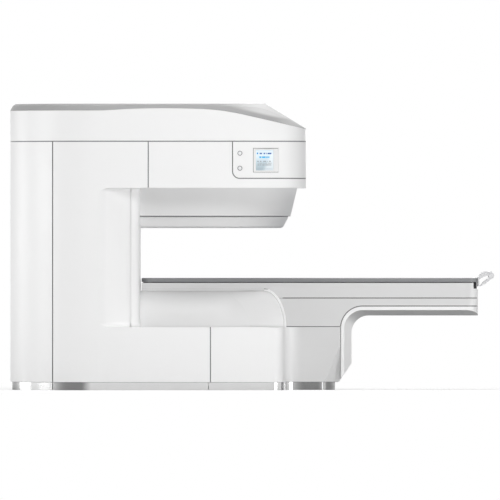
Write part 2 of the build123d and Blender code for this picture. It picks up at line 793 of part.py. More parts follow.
def frame_windows(x_front, z0):
    """Four rounded openings in a frame plate, from the front pair at x_front."""
    face = RectangleRounded(FRAME_WINDOW_L, FRAME_WINDOW_W, FRAME_WINDOW_R)
    y = (YOKE_R + HALF_W - FRAME_EDGE) / 2
    return [
        Pos(x, side * y, z0) * extrude(face, amount=2 * FRAME_T)
        for x in (x_front, x_front - FRAME_WINDOW_PITCH)
        for side in (-1, 1)
    ]


def cover_posts():
    """Uprights behind the vertical joints of the side covers."""
    y1 = -HALF_W + INSIDE
    low, high = PLINTH_H + FRAME_T, TOP_SEAM_Z - FRAME_T / 2
    base_top = DECK_Z - WALL
    arm_low = ARM_Z + WALL
    base = post(BASE_SEAM_X, y1, low, base_top)
    arm = post(ARM_SEAM_X, y1, arm_low, high)
    rear_y = -(HALF_W - REAR_R + sqrt(REAR_R ** 2 - (REAR_X + REAR_R - REAR_SEAM_X) ** 2)) + 3 * INSIDE
    rear = post(REAR_SEAM_X, rear_y, low, high)
    posts = [solid for one in (base, arm, rear) for solid in both_sides(one).solids()]
    return Compound(children=posts)


def post(x, y, z0, z1):
    half, wall = UPRIGHT_W / 2, UPRIGHT_WALL
    outer = block(x - half, x + half, y, y + UPRIGHT_T, z0, z1)
    return outer - block(x - half + wall, x + half - wall, y + wall, y + UPRIGHT_T - wall, z0, z1)


# Plinth
def plinth_band(plan, x0, x1):
    outer = prism(inset(plan, PLINTH_INSET), 0, PLINTH_H)
    ring = outer - prism(inset(plan, PLINTH_INSET + PLINTH_T), 0, PLINTH_H)
    return ring & block(x0, x1, -HALF_W, HALF_W, 0, PLINTH_H)


def plinth_parts():
    plan = base_plan(SHELL_FRONT_X)
    rear = plinth_band(plan, REAR_X, REAR_SEAM_X - SEAM / 2)
    middle = plinth_band(plan, REAR_SEAM_X + SEAM / 2, BASE_SEAM_X - SEAM * 3 - SEAM / 2)
    front = plinth_band(plan, BASE_SEAM_X - SEAM * 3 + SEAM / 2, PLINTH_FRONT_X)
    left = middle & block(REAR_X, NOSE_X, -HALF_W, 0, 0, PLINTH_H)
    right = middle & block(REAR_X, NOSE_X, 0, HALF_W, 0, PLINTH_H)
    toe_plan = base_plan(PLINTH_END_X + PLINTH_INSET)
    toe = plinth_band(toe_plan, PLINTH_TOE_X, PLINTH_END_X)
    return rear, left, right, front, toe


# Control panel parts
def nose_side_y(x):
    """Half the plan's width at x, in the straight part and round the nose corner."""
    run = max(0, x - (NOSE_X - NOSE_R))
    return HALF_W - NOSE_R + sqrt(NOSE_R ** 2 - run ** 2)


def display_frame():
    """Place of the display: flat between two upright lines on the curved fascia."""
    x1 = BEZEL_X0 + BEZEL_W
    tilt = degrees(atan2(HALF_W - nose_side_y(x1), BEZEL_W))
    return Pos(BEZEL_X0, -HALF_W, 0) * Rot(0, 0, tilt)


def display_block(u0, u1, v0, v1, z0, z1):
    """A block along the display's width u, depth v behind the fascia and height z."""
    return display_frame() * block(u0, u1, v0, v1, z0, z1)


def display_bezel():
    v1 = BEZEL_SETBACK + BEZEL_DEPTH
    frame = display_block(FIT, BEZEL_W - FIT, BEZEL_SETBACK, v1, BEZEL_Z0 + FIT, BEZEL_Z1 - FIT)
    front = frame.faces().sort_by(Axis.Y)[:2].sort_by(SortBy.AREA)[-1]
    frame = fillet(front.edges(), BEZEL_EDGE_R)
    window = display_block(SCREEN_U0, SCREEN_U1, 0, v1, SCREEN_Z0, SCREEN_Z1)
    return frame - window


def display_screen():
    v0 = BEZEL_SETBACK + SCREEN_RECESS
    return display_block(
        SCREEN_U0 + FIT, SCREEN_U1 - FIT, v0, v0 + SCREEN_T, SCREEN_Z0 + FIT, SCREEN_Z1 - FIT
    )


def display_box():
    """Electronics housing behind the screen, closing the bezel's back."""
    v0 = BEZEL_SETBACK + SCREEN_RECESS + SCREEN_T
    v1 = BEZEL_SETBACK + BEZEL_DEPTH
    core = display_block(SCREEN_U0 + FIT, SCREEN_U1 - FIT, v0, v1, SCREEN_Z0 + FIT, SCREEN_Z1 - FIT)
    return core + display_block(0, BEZEL_W, v1, v1 + DISPLAY_BOX_T, BEZEL_Z0, BEZEL_Z1)


def button_rings():
    rings = []
    for z in (BUTTON_HIGH_Z, BUTTON_LOW_Z):
        y0 = -HALF_W - BUTTON_RING_T
        ring = cylinder_y(BUTTON_RING_R, y0, -HALF_W, BUTTON_X, z)
        ring = ring - cylinder_y(BUTTON_R + FIT, y0, -HALF_W, BUTTON_X, z)
        edge = ring.faces().sort_by(Axis.Y)[0].outer_wire().edges()
        rings.append(fillet(edge, BUTTON_EDGE_R).solid())
    return Compound(children=rings)


def button_cap(z):
    y_face = -HALF_W - BUTTON_PROUD
    y_collar = -HALF_W + WALL + FIT
    cap = cylinder_y(BUTTON_R, y_face, y_collar, BUTTON_X, z)
    cap = fillet(cap.faces().sort_by(Axis.Y)[0].edges(), 1)
    return cap + cylinder_y(BUTTON_COLLAR_R, y_collar, y_collar + BUTTON_COLLAR_T, BUTTON_X, z)


def button_switches():
    """Switch bodies behind the fascia, with a well that the cap's collar moves in."""
    y0 = -HALF_W + WALL
    bodies = []
    for z in (BUTTON_HIGH_Z, BUTTON_LOW_Z):
        half = BUTTON_COLLAR_R + 4
        body = block(BUTTON_X - half, BUTTON_X + half, y0, y0 + SWITCH_T, z - half, z + half)
        well_depth = FIT + BUTTON_COLLAR_T + BUTTON_TRAVEL + FIT
        bodies.append((body - cylinder_y(BUTTON_COLLAR_R + FIT, y0, y0 + well_depth, BUTTON_X, z)).solid())
    return Compound(children=bodies)


# Table covers
def table_plan(x0, grow=0):
    """Plan of the table's covers from x0 to the rounded foot end."""
    half = [(x0, TABLE_HALF_W - grow), (TABLE_END_X - grow, TABLE_HALF_W - grow)]
    radius = TABLE_END_R - grow
    return closed_face(ring_points(half), [0, radius, radius, 0])


def lower_side_face(grow):
    """The pole cover's side view, grown, that the table's end is shaped to."""
    rx, rz = LOWER_R - LOWER_TOP_R + grow, LOWER_COVER_H + grow
    arc = EllipticalCenterArc((LOWER_TOP_R, DECK_Z), rx, rz, 0, arc_size=90)
    low = DECK_Z - WALL
    sides = Polyline(
        (LOWER_TOP_R, DECK_Z + rz), (COLUMN_X - WALL, DECK_Z + rz), (COLUMN_X - WALL, low),
        (LOWER_TOP_R + rx, low), (LOWER_TOP_R + rx, DECK_Z),
    )
    return make_face([arc, sides])


def pole_clearance(grow):
    return side_cut(lower_side_face(grow), HALF_W)


def table_bulkhead():
    """Curved end plate of the table's body, shaped to the pole cover."""
    band = pole_clearance(BULKHEAD_GAP + BULKHEAD_T) - pole_clearance(BULKHEAD_GAP)
    top = BEAM_UNDER_Z - FIT
    return band & block(LOWER_TOP_R, STEP_X + OVERRUN, -TABLE_HALF_W, TABLE_HALF_W, DECK_Z, top)


def body_clearance():
    return pole_clearance(BULKHEAD_GAP + BULKHEAD_T + FIT)


def beam_cover():
    """Upper table cover: side walls, end wall and a floor, open at the top."""
    rear_x = COLUMN_X + TOP_REAR_GAP
    outer = prism(table_plan(rear_x), TABLE_SEAM_Z + SEAM / 2, TABLE_TOP_Z)
    inner = prism(table_plan(rear_x + TABLE_WALL, TABLE_WALL), TABLE_SEAM_Z, TABLE_TOP_Z)
    over_pole = block(rear_x + TABLE_WALL, LOWER_TOP_R, -HALF_W, HALF_W, 0, BEAM_UNDER_Z + TABLE_WALL)
    cover = outer - (inner - over_pole)
    cover = cover - block(REAR_X, LOWER_TOP_R, -HALF_W, HALF_W, 0, BEAM_UNDER_Z) - body_clearance()
    notch = block(LIP_X - SEAM, TABLE_END_X + 1, -HALF_W, HALF_W, LIP_Z - SEAM, TABLE_TOP_Z + 1)
    lap_plan = table_plan(LAP_START_X, TABLE_WALL + FIT)
    lap_hole = table_plan(LAP_START_X - LIP_H, TABLE_WALL + FIT + LIP_T)
    root_plan = table_plan(LAP_START_X, TABLE_WALL - 1)
    lap = prism(lap_plan, TABLE_SEAM_Z - LIP_H, TABLE_SEAM_Z + LIP_H)
    lap = lap + prism(root_plan, TABLE_SEAM_Z + SEAM / 2, TABLE_SEAM_Z + LIP_H)
    lap = lap - prism(lap_hole, TABLE_SEAM_Z - 2 * LIP_H, TABLE_SEAM_Z + 2 * LIP_H)
    return cover - notch + lap


def shell_profile(grow):
    """Side view of the space in front of and below the shell's seam line."""
    x, z = SHELL_SEAM_X - grow, SHELL_SEAM_Z + grow
    far = TABLE_END_X + OVERRUN
    line = FilletPolyline((x, 0), (x, z), (far, z), radius=SHELL_SEAM_R + grow)
    sides = Polyline((far, z), (far, 0), (x, 0))
    return make_face([line, sides])


def table_lower_cover():
    """Middle table cover, from the deck and the shell's seam up to the long seam."""
    x0, z0, z1 = LOWER_TOP_R, DECK_Z, TABLE_SEAM_Z - SEAM / 2
    plan = table_plan(x0)
    cover = prism(plan, z0, z1) - prism(table_plan(x0 - 1, TABLE_WALL), z0, z1)
    reveal = prism(plan, z0, z0 + SEAM) - prism(table_plan(x0 - 1, TABLE_WALL / 2), z0, z0 + SEAM)
    cover = cover - reveal - body_clearance() - side_cut(shell_profile(SEAM / 2), HALF_W)
    core = prism(inset(plan, TABLE_WALL + FIT + LIP_T), z0, z1)
    behind = prism(inset(plan, TABLE_WALL + FIT), z0, z1) - core
    joined = prism(inset(plan, TABLE_WALL / 2), z0, z1) - core
    lap_band = side_cut(shell_profile(SEAM), HALF_W) - side_cut(shell_profile(-LIP_H), HALF_W)
    root_band = side_cut(shell_profile(LIP_H), HALF_W) - side_cut(shell_profile(SEAM / 2), HALF_W)
    lap = (behind & lap_band) + (joined & root_band)
    lap = lap & block(SHELL_SEAM_X - 2 * LIP_H, TABLE_END_X, -HALF_W, HALF_W, DECK_Z + SEAM, z1 - 2 * LIP_H)
    return cover + lap


def foot_shell_solid(depth):
    """The L-shaped underside block with its long bevels, walls moved in by depth."""
    x, z = SHELL_FRONT_X - depth, UNDERSIDE_Z + depth
    far = TABLE_END_X + OVERRUN
    under = FilletPolyline((x, 0), (x, z), (far, z), radius=SHELL_R + depth)
    space = side_cut(make_face([under, Polyline((far, z), (far, 0), (x, 0))]), HALF_W)
    plan = table_plan(SHELL_SEAM_X - depth, depth)
    body = prism(plan, PLINTH_H, SHELL_SEAM_Z + 1) - space
    body = body - side_cut(shell_seam_region(), HALF_W) - toe_cut(depth)
    return body - both_sides(bevel_cut(depth))


def toe_facet():
    """Shallow three-sided facet where the long bevel runs out at the toe."""
    x, y = SHELL_FRONT_X - BEVEL_BACK, -TABLE_HALF_W
    top = Vector(x, y, TOE_TOP_Z + TOE_FACET_RISE)
    tip = Vector(SHELL_FRONT_X, y + BEVEL_IN, TOE_TOP_Z)
    low = Vector(x, y + TOE_FACET_DEPTH, PLINTH_H + SEAM)
    normal = (tip - top).cross(low - top).normalized()
    if normal.Y > 0:
        normal = normal * -1
    slab = extrude(Plane(origin=top, z_dir=normal) * Rectangle(HALF_W, HALF_W), amount=HALF_W / 2)
    near = block(x, SHELL_FRONT_X + WALL, y - 1, y + BEVEL_IN, 0, TOE_TOP_Z + TOE_FACET_RISE)
    return both_sides(slab & near)


def shell_seam_region():
    """Side view of the space behind and above the seam line."""
    x, z = SHELL_SEAM_X + SEAM / 2, SHELL_SEAM_Z - SEAM / 2
    far = TABLE_END_X + OVERRUN
    high, back = SHELL_SEAM_Z + OVERRUN, x - 3 * OVERRUN
    line = FilletPolyline((x, 0), (x, z), (far, z), radius=SHELL_SEAM_R)
    sides = Polyline((far, z), (far, high), (back, high), (back, 0), (x, 0))
    return make_face([line, sides])


def bevel_cut(depth):
    """Long slanting cut along the lower outer edge, one side, ruled between two L curves."""
    y = -TABLE_HALF_W + depth
    far = TABLE_END_X + OVERRUN
    x_out, z_out = SHELL_FRONT_X - BEVEL_BACK, UNDERSIDE_Z + BEVEL_UP
    x_in, z_in = SHELL_FRONT_X, UNDERSIDE_Z
    grow = 2
    outer = l_face(x_out - depth, z_out + depth, SHELL_R + BEVEL_TURN, y - 1, far)
    inner = l_face(x_in - depth, z_in + depth, SHELL_R, y + BEVEL_IN + grow / 4, far)
    return loft([outer, inner], ruled=True)


def l_face(x, z, radius, y, far):
    line = FilletPolyline((x, -OVERRUN), (x, z), (far, z), radius=radius)
    face = make_face([line, Polyline((far, z), (far, -OVERRUN), (x, -OVERRUN))])
    return Plane(origin=(0, y, 0), x_dir=(1, 0, 0), z_dir=(0, -1, 0)) * face


def foot_shell():
    """L-shaped underside shell of the cantilever, open towards the table's inside."""
    return foot_shell_solid(0) - foot_shell_solid(TABLE_WALL) - toe_facet()


# Table frame
def table_frame():
    """Welded frame: post, lower box beam, top plate and ribs that carry the covers."""
    low = PLINTH_H + FRAME_T
    beam_z1 = BEAM_Z + BEAM_H
    plate_z = plate_top() - PLATE_T
    inner_z = BEAM_Z - FRAME_T
    post_half, beam_half = POST_HALF_W, BEAM_HALF_W
    post_box = block(POST_X0, POST_X1, -post_half, post_half, low, beam_z1)
    post_box = post_box - block(
        POST_X0 + FRAME_T, POST_X1 - FRAME_T, -post_half + FRAME_T, post_half - FRAME_T, low, inner_z
    )
    beam = block(BEAM_X0, BEAM_X1, -beam_half, beam_half, BEAM_Z, beam_z1)
    beam = beam - block(
        BEAM_X0 + FRAME_T, BEAM_X1 - FRAME_T, -beam_half + FRAME_T, beam_half - FRAME_T,
        BEAM_Z + FRAME_T, beam_z1 - FRAME_T,
    )
    plate_plan = table_plan(COLUMN_X + TOP_REAR_GAP + TABLE_WALL + FIT, TABLE_WALL + FIT)
    plate = prism(plate_plan, plate_z, plate_top())
    plate = plate & block(COLUMN_X, LIP_X - 2 * SEAM, -HALF_W, HALF_W, 0, TOP_Z)
    frame = post_box + beam + plate
    rib_half = TABLE_HALF_W - TABLE_WALL - LIP_T - 2 * FIT
    for x in RIB_XS:
        frame = frame + block(x, x + FRAME_T, -rib_half, rib_half, BEAM_Z, plate_z)
    base_half = TABLE_HALF_W - WALL - FIT
    foot = block(POST_X0 - FRAME_T, POST_X1 + FRAME_T, -base_half, base_half, low, low + FRAME_T)
    return frame + (foot - pedestal_bevels(INSIDE))


def plate_top():
    return BEAM_UNDER_Z + TABLE_WALL + FIT + PLATE_T


# Slide parts
def guide_rails():
    z0 = plate_top()
    z2 = TOP_UNDER_Z - SHOE_JAW
    z1 = z2 - RAIL_HEAD_H
    x0, x1 = stop_x()[0] + STOP_L, stop_x()[1]
    rails = []
    for y in (-RAIL_Y, RAIL_Y):
        web = block(x0, x1, y - RAIL_WEB_W / 2, y + RAIL_WEB_W / 2, z0, z2)
        head = block(x0, x1, y - RAIL_HEAD_W / 2, y + RAIL_HEAD_W / 2, z1, z2)
        rails.append((web + head).solid())
    return Compound(children=rails)


def guide_shoes():
    """Bearing shoes under the tabletop that wrap the rail's head."""
    z2 = TOP_UNDER_Z
    z_head = z2 - SHOE_JAW
    shoes = []
    for x in (SHOE_REAR_X, SHOE_FRONT_X):
        for y in (-RAIL_Y, RAIL_Y):
            half = RAIL_HEAD_W / 2 + SHOE_WALL
            low = z_head - RAIL_HEAD_H - SHOE_WALL
            body = block(x, x + SHOE_L, y - half, y + half, low, z2)
            slot = block(x, x + SHOE_L, y - RAIL_HEAD_W / 2 - FIT, y + RAIL_HEAD_W / 2 + FIT,
                         z_head - RAIL_HEAD_H - FIT, z_head + FIT)
            mouth = block(x, x + SHOE_L, y - RAIL_WEB_W / 2 - FIT, y + RAIL_WEB_W / 2 + FIT,
                          low - 1, z_head)
            shoes.append((body - slot - mouth).solid())
    return Compound(children=shoes)


def end_stops():
    """Rubber buffers that the shoes meet at both ends of the travel."""
    z0, z1 = plate_top(), TOP_UNDER_Z - SHOE_JAW
    half = RAIL_HEAD_W / 2
    stops = []
    for x in stop_x():
        for y in (-RAIL_Y, RAIL_Y):
            stops.append(block(x, x + STOP_L, y - half, y + half, z0, z1).solid())
    return Compound(children=stops)


def gap_seals():
    """Two rubber strips that close the gap under the sliding tabletop."""
    x0, x1 = COLUMN_X + TOP_REAR_GAP + 2 * TABLE_WALL, LIP_X - 3 * SEAM
    z0, z1 = plate_top(), TOP_UNDER_Z - SEAL_GAP
    strips = [block(x0, x1, y, y + SEAL_T, z0, z1).solid() for y in (-SEAL_Y - SEAL_T, SEAL_Y)]
    return Compound(children=strips)


def stop_x():
    """Rear ends of the rear and the front stops, set by the shoes and the travel."""
    return SHOE_REAR_X - FIT - STOP_L, SHOE_FRONT_X + SHOE_L + TRAVEL + FIT


def roller_x(index):
    return ROLLER_FIRST_X + ROLLER_PITCH * index


def roller_z():
    return TOP_UNDER_Z - FIT - ROLLER_R


def roller(index):
    x, z = roller_x(index), roller_z()
    reach = ROLLER_Y + ROLLER_W / 2 + 2 * ROLLER_BRACKET_GAP + ROLLER_BRACKET_T
    solid = cylinder_y(ROLLER_SHAFT_R, -reach, reach, x, z)
    for y in (-ROLLER_Y, ROLLER_Y):
        solid = solid + cylinder_y(ROLLER_R, y - ROLLER_W / 2, y + ROLLER_W / 2, x, z)
    return solid


def roller_brackets():
    brackets = []
    for index in range(ROLLER_COUNT):
        x, z = roller_x(index), roller_z()
        for side in (-1, 1):
            y = side * (ROLLER_Y + (ROLLER_W + ROLLER_BRACKET_T) / 2 + ROLLER_BRACKET_GAP)
            y0, y1 = y - ROLLER_BRACKET_T / 2, y + ROLLER_BRACKET_T / 2
            half, top = ROLLER_BRACKET_W / 2, z + ROLLER_SHAFT_R + ROLLER_BRACKET_GAP
            plate = block(x - half, x + half, y0, y1, plate_top(), top)
            bore = cylinder_y(ROLLER_SHAFT_R + ROLLER_PLAY, y0, y1, x, z)
            brackets.append((plate - bore).solid())
    return Compound(children=brackets)


# Tabletop
def tabletop():
    x0, x1 = COLUMN_X + TOP_REAR_GAP, TABLE_END_X
    board = Pos((x0 + x1) / 2, 0, TOP_UNDER_Z) * extrude(
        RectangleRounded(x1 - x0, 2 * TOP_HALF_W, TOP_CORNER_R), amount=TOP_T
    )
    tray = Pos((x0 + x1) / 2, 0, TOP_UNDER_Z + TOP_FLOOR_T) * extrude(
        RectangleRounded(x1 - x0 - 2 * TOP_RIM_W, 2 * (TOP_HALF_W - TOP_RIM_W), TOP_CORNER_R - TOP_RIM_W),
        amount=TOP_T,
    )
    board = board - tray
    top = board.faces().sort_by(Axis.Z)[-1]
    return fillet(top.outer_wire().edges(), TOP_EDGE_R)


def mattress_pad():
    x0 = COLUMN_X + TOP_REAR_GAP + TOP_RIM_W + PAD_CLEAR
    x1 = TABLE_END_X - TOP_RIM_W - PAD_CLEAR
    half = TOP_HALF_W - TOP_RIM_W - PAD_CLEAR
    radius = TOP_CORNER_R - TOP_RIM_W - PAD_CLEAR
    face = RectangleRounded(x1 - x0, 2 * half, radius)
    pad = Pos((x0 + x1) / 2, 0, TOP_UNDER_Z + TOP_FLOOR_T) * extrude(face, amount=PAD_T)
    return fillet(pad.faces().sort_by(Axis.Z)[-1].edges(), PAD_EDGE_R)


def end_lip():
    """Dark hooked bar under the tabletop's foot end."""
    x1 = LIP_X + LIP_W
    bar = block(LIP_X, x1, -LIP_HALF_W, LIP_HALF_W, LIP_Z, TOP_UNDER_Z)
    z_hook = TOP_UNDER_Z - LIP_HOOK_T
    hook = block(LIP_X - LIP_W / 2, LIP_X, -LIP_HALF_W, LIP_HALF_W, z_hook, TOP_UNDER_Z)
    return bar + hook


def handle_point(along, up):
    """A point of the handle's side view, in shares of its reach and of its rise or drop."""
    return TABLE_END_X + along * HANDLE_REACH, TOP_Z + up * (HANDLE_RISE if up > 0 else HANDLE_DROP)


def push_handle():
    """Moulded loop handle: two side loops, one grip bar and a root on the tabletop's end."""
    low = -1 + HANDLE_FLANGE_T / HANDLE_DROP
    outer = [(0, 0.1), (0.2, 0.67), (0.36, 0.95), (0.88, 1), (1, 0.45)]
    outer += [(0.96, 0.02), (0.48, -0.65), (0.2, -1), (0, -1)]
    inner = [(0.09, -0.2), (0.34, 0.14), (0.68, 0.4), (0.67, 0.02), (0.42, -0.33), (0.2, low), (0.09, low)]
    outer_r = [0, 0.3, 0.1, 0.11, 0.12, 0.12, 0.3, 0.12, 0]
    inner_r = [0.02, 0.1, 0.07, 0.06, 0.1, 0.03, 0.02]
    faces = []
    for shares, radii in ((outer, outer_r), (inner, inner_r)):
        points = [handle_point(*share) for share in shares]
        faces.append(closed_face(points, [share * HANDLE_REACH for share in radii]))
    loop = side_cut(faces[0], HANDLE_HALF_W) - side_cut(faces[1], HANDLE_HALF_W)
    hand_w = HANDLE_HALF_W - HANDLE_ARM_W
    x0, x1 = TABLE_END_X + HANDLE_FLANGE_T, TABLE_END_X + HANDLE_REACH - HANDLE_GRIP_W
    space = block(x0, x1, -hand_w, hand_w, TOP_Z - 2 * HANDLE_DROP, TOP_Z + 2 * HANDLE_RISE)
    return loop - space + handle_root()


def handle_root():
    """Thin wedges that carry the handle's arms onto the tabletop's upper edge."""
    x = TABLE_END_X
    wedge = make_face(Polyline(
        (x - HANDLE_ROOT, TOP_Z), (x, TOP_Z), (x + HANDLE_FLANGE_T, TOP_Z - HANDLE_FLANGE_T),
        (x + HANDLE_FLANGE_T, TOP_Z + HANDLE_RISE / 3), (x, TOP_Z + HANDLE_RISE / 5), close=True,
    ))
    return side_cut(wedge, HANDLE_HALF_W)


def write(name, shape):
    export_step(shape, f"parts/{name}.step")


def magnet_cover_nodes():
    shell = cover_shell() - pole_holes()
    rear, left, right, front, toe = plinth_parts()
    return {
        "rear_cover": rear_cover(shell),
        "rear_service_panel": rear_service_panel(),
        "side_cover_left": magnet_side_cover(shell, -1),
        "side_cover_right": magnet_side_cover(shell, 1),
        "column_cover": column_cover(shell),
        "base_front_cover": base_front_cover(shell),
        "arm_front_cover": arm_front_cover(shell),
        "control_fascia": control_fascia(shell),
        "top_cover": top_cover(),
        "crown": crown(),
        "upper_pole_housing": upper_pole_housing(),
        "upper_pole_cap": upper_pole_cap(),
        "lower_pole_cover": lower_pole_cover(),
        "plinth_rear": rear,
        "plinth_left": left,
        "plinth_right": right,
        "plinth_front": front,
        "plinth_toe": toe,
    }


def magnet_nodes():
    base, column, top = yoke_parts()
    return {
        "yoke_base": base,
        "yoke_column": column,
        "yoke_top": top,
        "yoke_bolts": yoke_bolts(),
        "lower_magnet": magnet_disc(),
        "upper_magnet": upper_only(magnet_disc()),
        "lower_pole_piece": pole_piece(),
        "upper_pole_piece": upper_only(pole_piece()),
        "lower_gradient_coil": gradient_coil(),
        "upper_gradient_coil": upper_only(gradient_coil()),
        "lower_rf_coil": rf_coil(),
        "upper_rf_coil": upper_only(rf_coil()),
        "levelling_feet": levelling_feet(),
        "base_frame": base_frame(),
        "top_frame": top_frame(),
        "cover_posts": cover_posts(),
    }


def control_nodes():
    return {
        "display_bezel": display_bezel(),
        "display_screen": display_screen(),
        "display_box": display_box(),
        "button_rings": button_rings(),
        "button_switches": button_switches(),
        "table_out_button": button_cap(BUTTON_HIGH_Z),
        "stop_button": button_cap(BUTTON_LOW_Z),
    }


def table_nodes():
    nodes = {
        "table_bulkhead": table_bulkhead(),
        "beam_cover": beam_cover(),
        "table_lower_cover": table_lower_cover(),
        "foot_shell": foot_shell(),
        "table_frame": table_frame(),
        "guide_rails": guide_rails(),
        "guide_shoes": guide_shoes(),
        "end_stops": end_stops(),
        "gap_seals": gap_seals(),
        "roller_brackets": roller_brackets(),
        "tabletop": tabletop(),
        "mattress_pad": mattress_pad(),
        "end_lip": end_lip(),
        "push_handle": push_handle(),
    }
    for index in range(ROLLER_COUNT):
        nodes[f"roller_{index + 1}"] = roller(index)
    return nodes


def main():
    os.makedirs("parts", exist_ok=True)
    for group in (magnet_cover_nodes, magnet_nodes, control_nodes, table_nodes):
        for name, shape in group().items():
            write(name, shape)


main()
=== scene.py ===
import math

import bmesh
import bpy
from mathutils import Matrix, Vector


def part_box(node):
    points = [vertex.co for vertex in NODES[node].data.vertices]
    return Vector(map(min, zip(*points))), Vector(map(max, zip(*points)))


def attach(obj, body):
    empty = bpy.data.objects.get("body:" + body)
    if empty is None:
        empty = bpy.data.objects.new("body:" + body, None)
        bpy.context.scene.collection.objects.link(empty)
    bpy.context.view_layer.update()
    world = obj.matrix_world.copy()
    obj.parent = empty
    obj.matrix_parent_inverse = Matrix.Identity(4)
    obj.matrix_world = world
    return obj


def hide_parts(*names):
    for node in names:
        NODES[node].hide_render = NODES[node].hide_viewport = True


bl_info = {
    "name": "Open Magnet Scanner",
    "version": (1, 0, 0),
    "blender": (4, 5, 0),
    "location": "View3D > Sidebar > Scanner",
    "description": "Dresses an open C-shaped scanner and its patient table",
    "category": "Object",
}

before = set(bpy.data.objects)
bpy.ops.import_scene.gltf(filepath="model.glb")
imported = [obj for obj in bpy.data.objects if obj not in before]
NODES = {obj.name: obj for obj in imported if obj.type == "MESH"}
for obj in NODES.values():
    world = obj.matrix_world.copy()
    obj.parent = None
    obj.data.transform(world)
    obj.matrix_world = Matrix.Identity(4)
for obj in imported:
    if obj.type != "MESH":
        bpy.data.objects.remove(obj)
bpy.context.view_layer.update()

# CAD nodes that share a finish
MAGNET_COVERS = (
    "rear_cover", "rear_service_panel", "side_cover_left", "side_cover_right", "column_cover",
    "arm_front_cover", "control_fascia",
)
PLINTH = ("plinth_rear", "plinth_left", "plinth_right", "plinth_front", "plinth_toe")
POLE_COVERS = ("upper_pole_housing", "upper_pole_cap", "lower_pole_cover")
TABLE_COVERS = ("beam_cover", "table_lower_cover")
YOKE = ("yoke_base", "yoke_column", "yoke_top", "lower_pole_piece", "upper_pole_piece")
MAGNETS = ("lower_magnet", "upper_magnet")
COILS = ("lower_gradient_coil", "upper_gradient_coil", "lower_rf_coil", "upper_rf_coil")
FRAMES = ("base_frame", "top_frame", "cover_posts", "table_frame")
ZINC_PARTS = ("yoke_bolts", "levelling_feet", "roller_brackets")
RUBBER_PARTS = ("end_lip", "end_stops", "gap_seals")
ROLLERS = ("roller_1", "roller_2", "roller_3", "roller_4")

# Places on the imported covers, in metres
HALF_GAP = 0.002
POLE_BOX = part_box("lower_pole_cover")
DECK_LEVEL = POLE_BOX[0].z
POLE_TOP_Z = POLE_BOX[1].z
POLE_R = POLE_BOX[1].y
POLE_TOP_R = 0.321
BEAM_UNDER_Z = 0.6443
GAP_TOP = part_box("upper_pole_housing")[1].z
COLUMN_JOINT_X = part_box("column_cover")[0].x - HALF_GAP
TOP_JOINT_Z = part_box("top_cover")[0].z - HALF_GAP
CROWN_LOW_Z = 1.776

# Joints between the covers, as outlines of panels seen from the side
FASCIA_RISE = 0.06
REAR_JOINT = {"Left": -1.019}
TOP_JOINT = {"Low": TOP_JOINT_Z}
ARM_JOINT = {"Left": -0.413, "Low": 0.9}
BASE_JOINT = {"Left": -0.019, "High": 0.9}
FASCIA_JOINT = {"Left": 0.121, "Low": GAP_TOP + FASCIA_RISE, "Radius": 0.045}
BEZEL_JOINT = {"Left": 0.2515, "Right": 0.4145, "Low": 1.3805, "High": 1.5348, "Radius": 0.002}
TABLE_JOINT = {"Low": 0.584}
DECK_JOINT = {"High": 0.402}
SHELL_JOINT = {"Left": 0.807, "High": 0.533, "Radius": 0.14}
HOUSING_JOINT = {"Low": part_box("upper_pole_housing")[0].z}
MAGNET_JOINTS = (REAR_JOINT, TOP_JOINT, ARM_JOINT, BASE_JOINT, FASCIA_JOINT)
BASE_JOINTS = (BASE_JOINT, SHELL_JOINT)
TABLE_JOINTS = (TABLE_JOINT, SHELL_JOINT, DECK_JOINT)

# Spans over which one tone of a finish gives way to the next, for the painted shade, painted highlight
# and painted reflections below
# Painted shade where the base's front moulding turns in towards the pedestal, in the table panels' grey
BASE_SHADE_X = (0.44, 0.57)
# Painted highlight in the covers' white at the table panels' free end
TABLE_END_HIGHLIGHT_X = (1.62, 1.665)
# Where the crown's painted shade lies: the bevel line sinks forward past CROWN_FALL_X, and the front
# slope, nose and roof stay pale as painted light
CROWN_FALL_X = 0.10
CROWN_FALL = 0.23
CROWN_BEVEL_Z = (CROWN_LOW_Z + 0.012, CROWN_LOW_Z + 0.034)
CROWN_FRONT_X = (0.0, 0.32)
CROWN_NOSE_X = (0.36, 0.56)
ROOF_FACING = (0.9, 0.99)
# Painted shade on the foot shell where it faces down
UNDERSIDE_SHADE_FACING = (-0.25, -0.75)
# Fade of the plinth's painted dark reflections
PLINTH_REFLECTION_END = 0.07
# Start, darkest place and end of each painted dark reflection along the plinth
PLINTH_DARK_REFLECTIONS = (
    (-1.10, -0.92, -0.84), (-1.42, -1.40, -1.285), (0.44, 0.58, 0.66), (0.70, 0.72, 0.735),
)

# Display: rectangles by left, right, low and high shares of its sides, pitch of their marks, colour
SCREEN_RIM = 0.001
# Slant, strength and span of the painted reflection across the display
SCREEN_SLANT = 0.55
SCREEN_REFLECTION = 0.55
REFLECTION_SPAN = (0.30, 0.62)
MARKS_KEPT = 0.35
MARKS_SEED = 37
SCREEN_MARKS = (
    (0.07, 0.14, 0.80, 0.88, 0, (0.02, 0.22, 0.52, 1)),
    (0.20, 0.92, 0.80, 0.87, 0.045, (0.05, 0.12, 0.34, 1)),
    (0.20, 0.80, 0.61, 0.69, 0.03, (0.03, 0.40, 0.72, 1)),
    (0.08, 0.92, 0.43, 0.465, 0.03, (0.20, 0.22, 0.24, 1)),
    (0.08, 0.92, 0.34, 0.375, 0.03, (0.28, 0.30, 0.32, 1)),
    (0.08, 0.92, 0.25, 0.285, 0.03, (0.22, 0.24, 0.26, 1)),
    (0.05, 0.95, 0.06, 0.075, 0, (0.30, 0.36, 0.42, 1)),
)

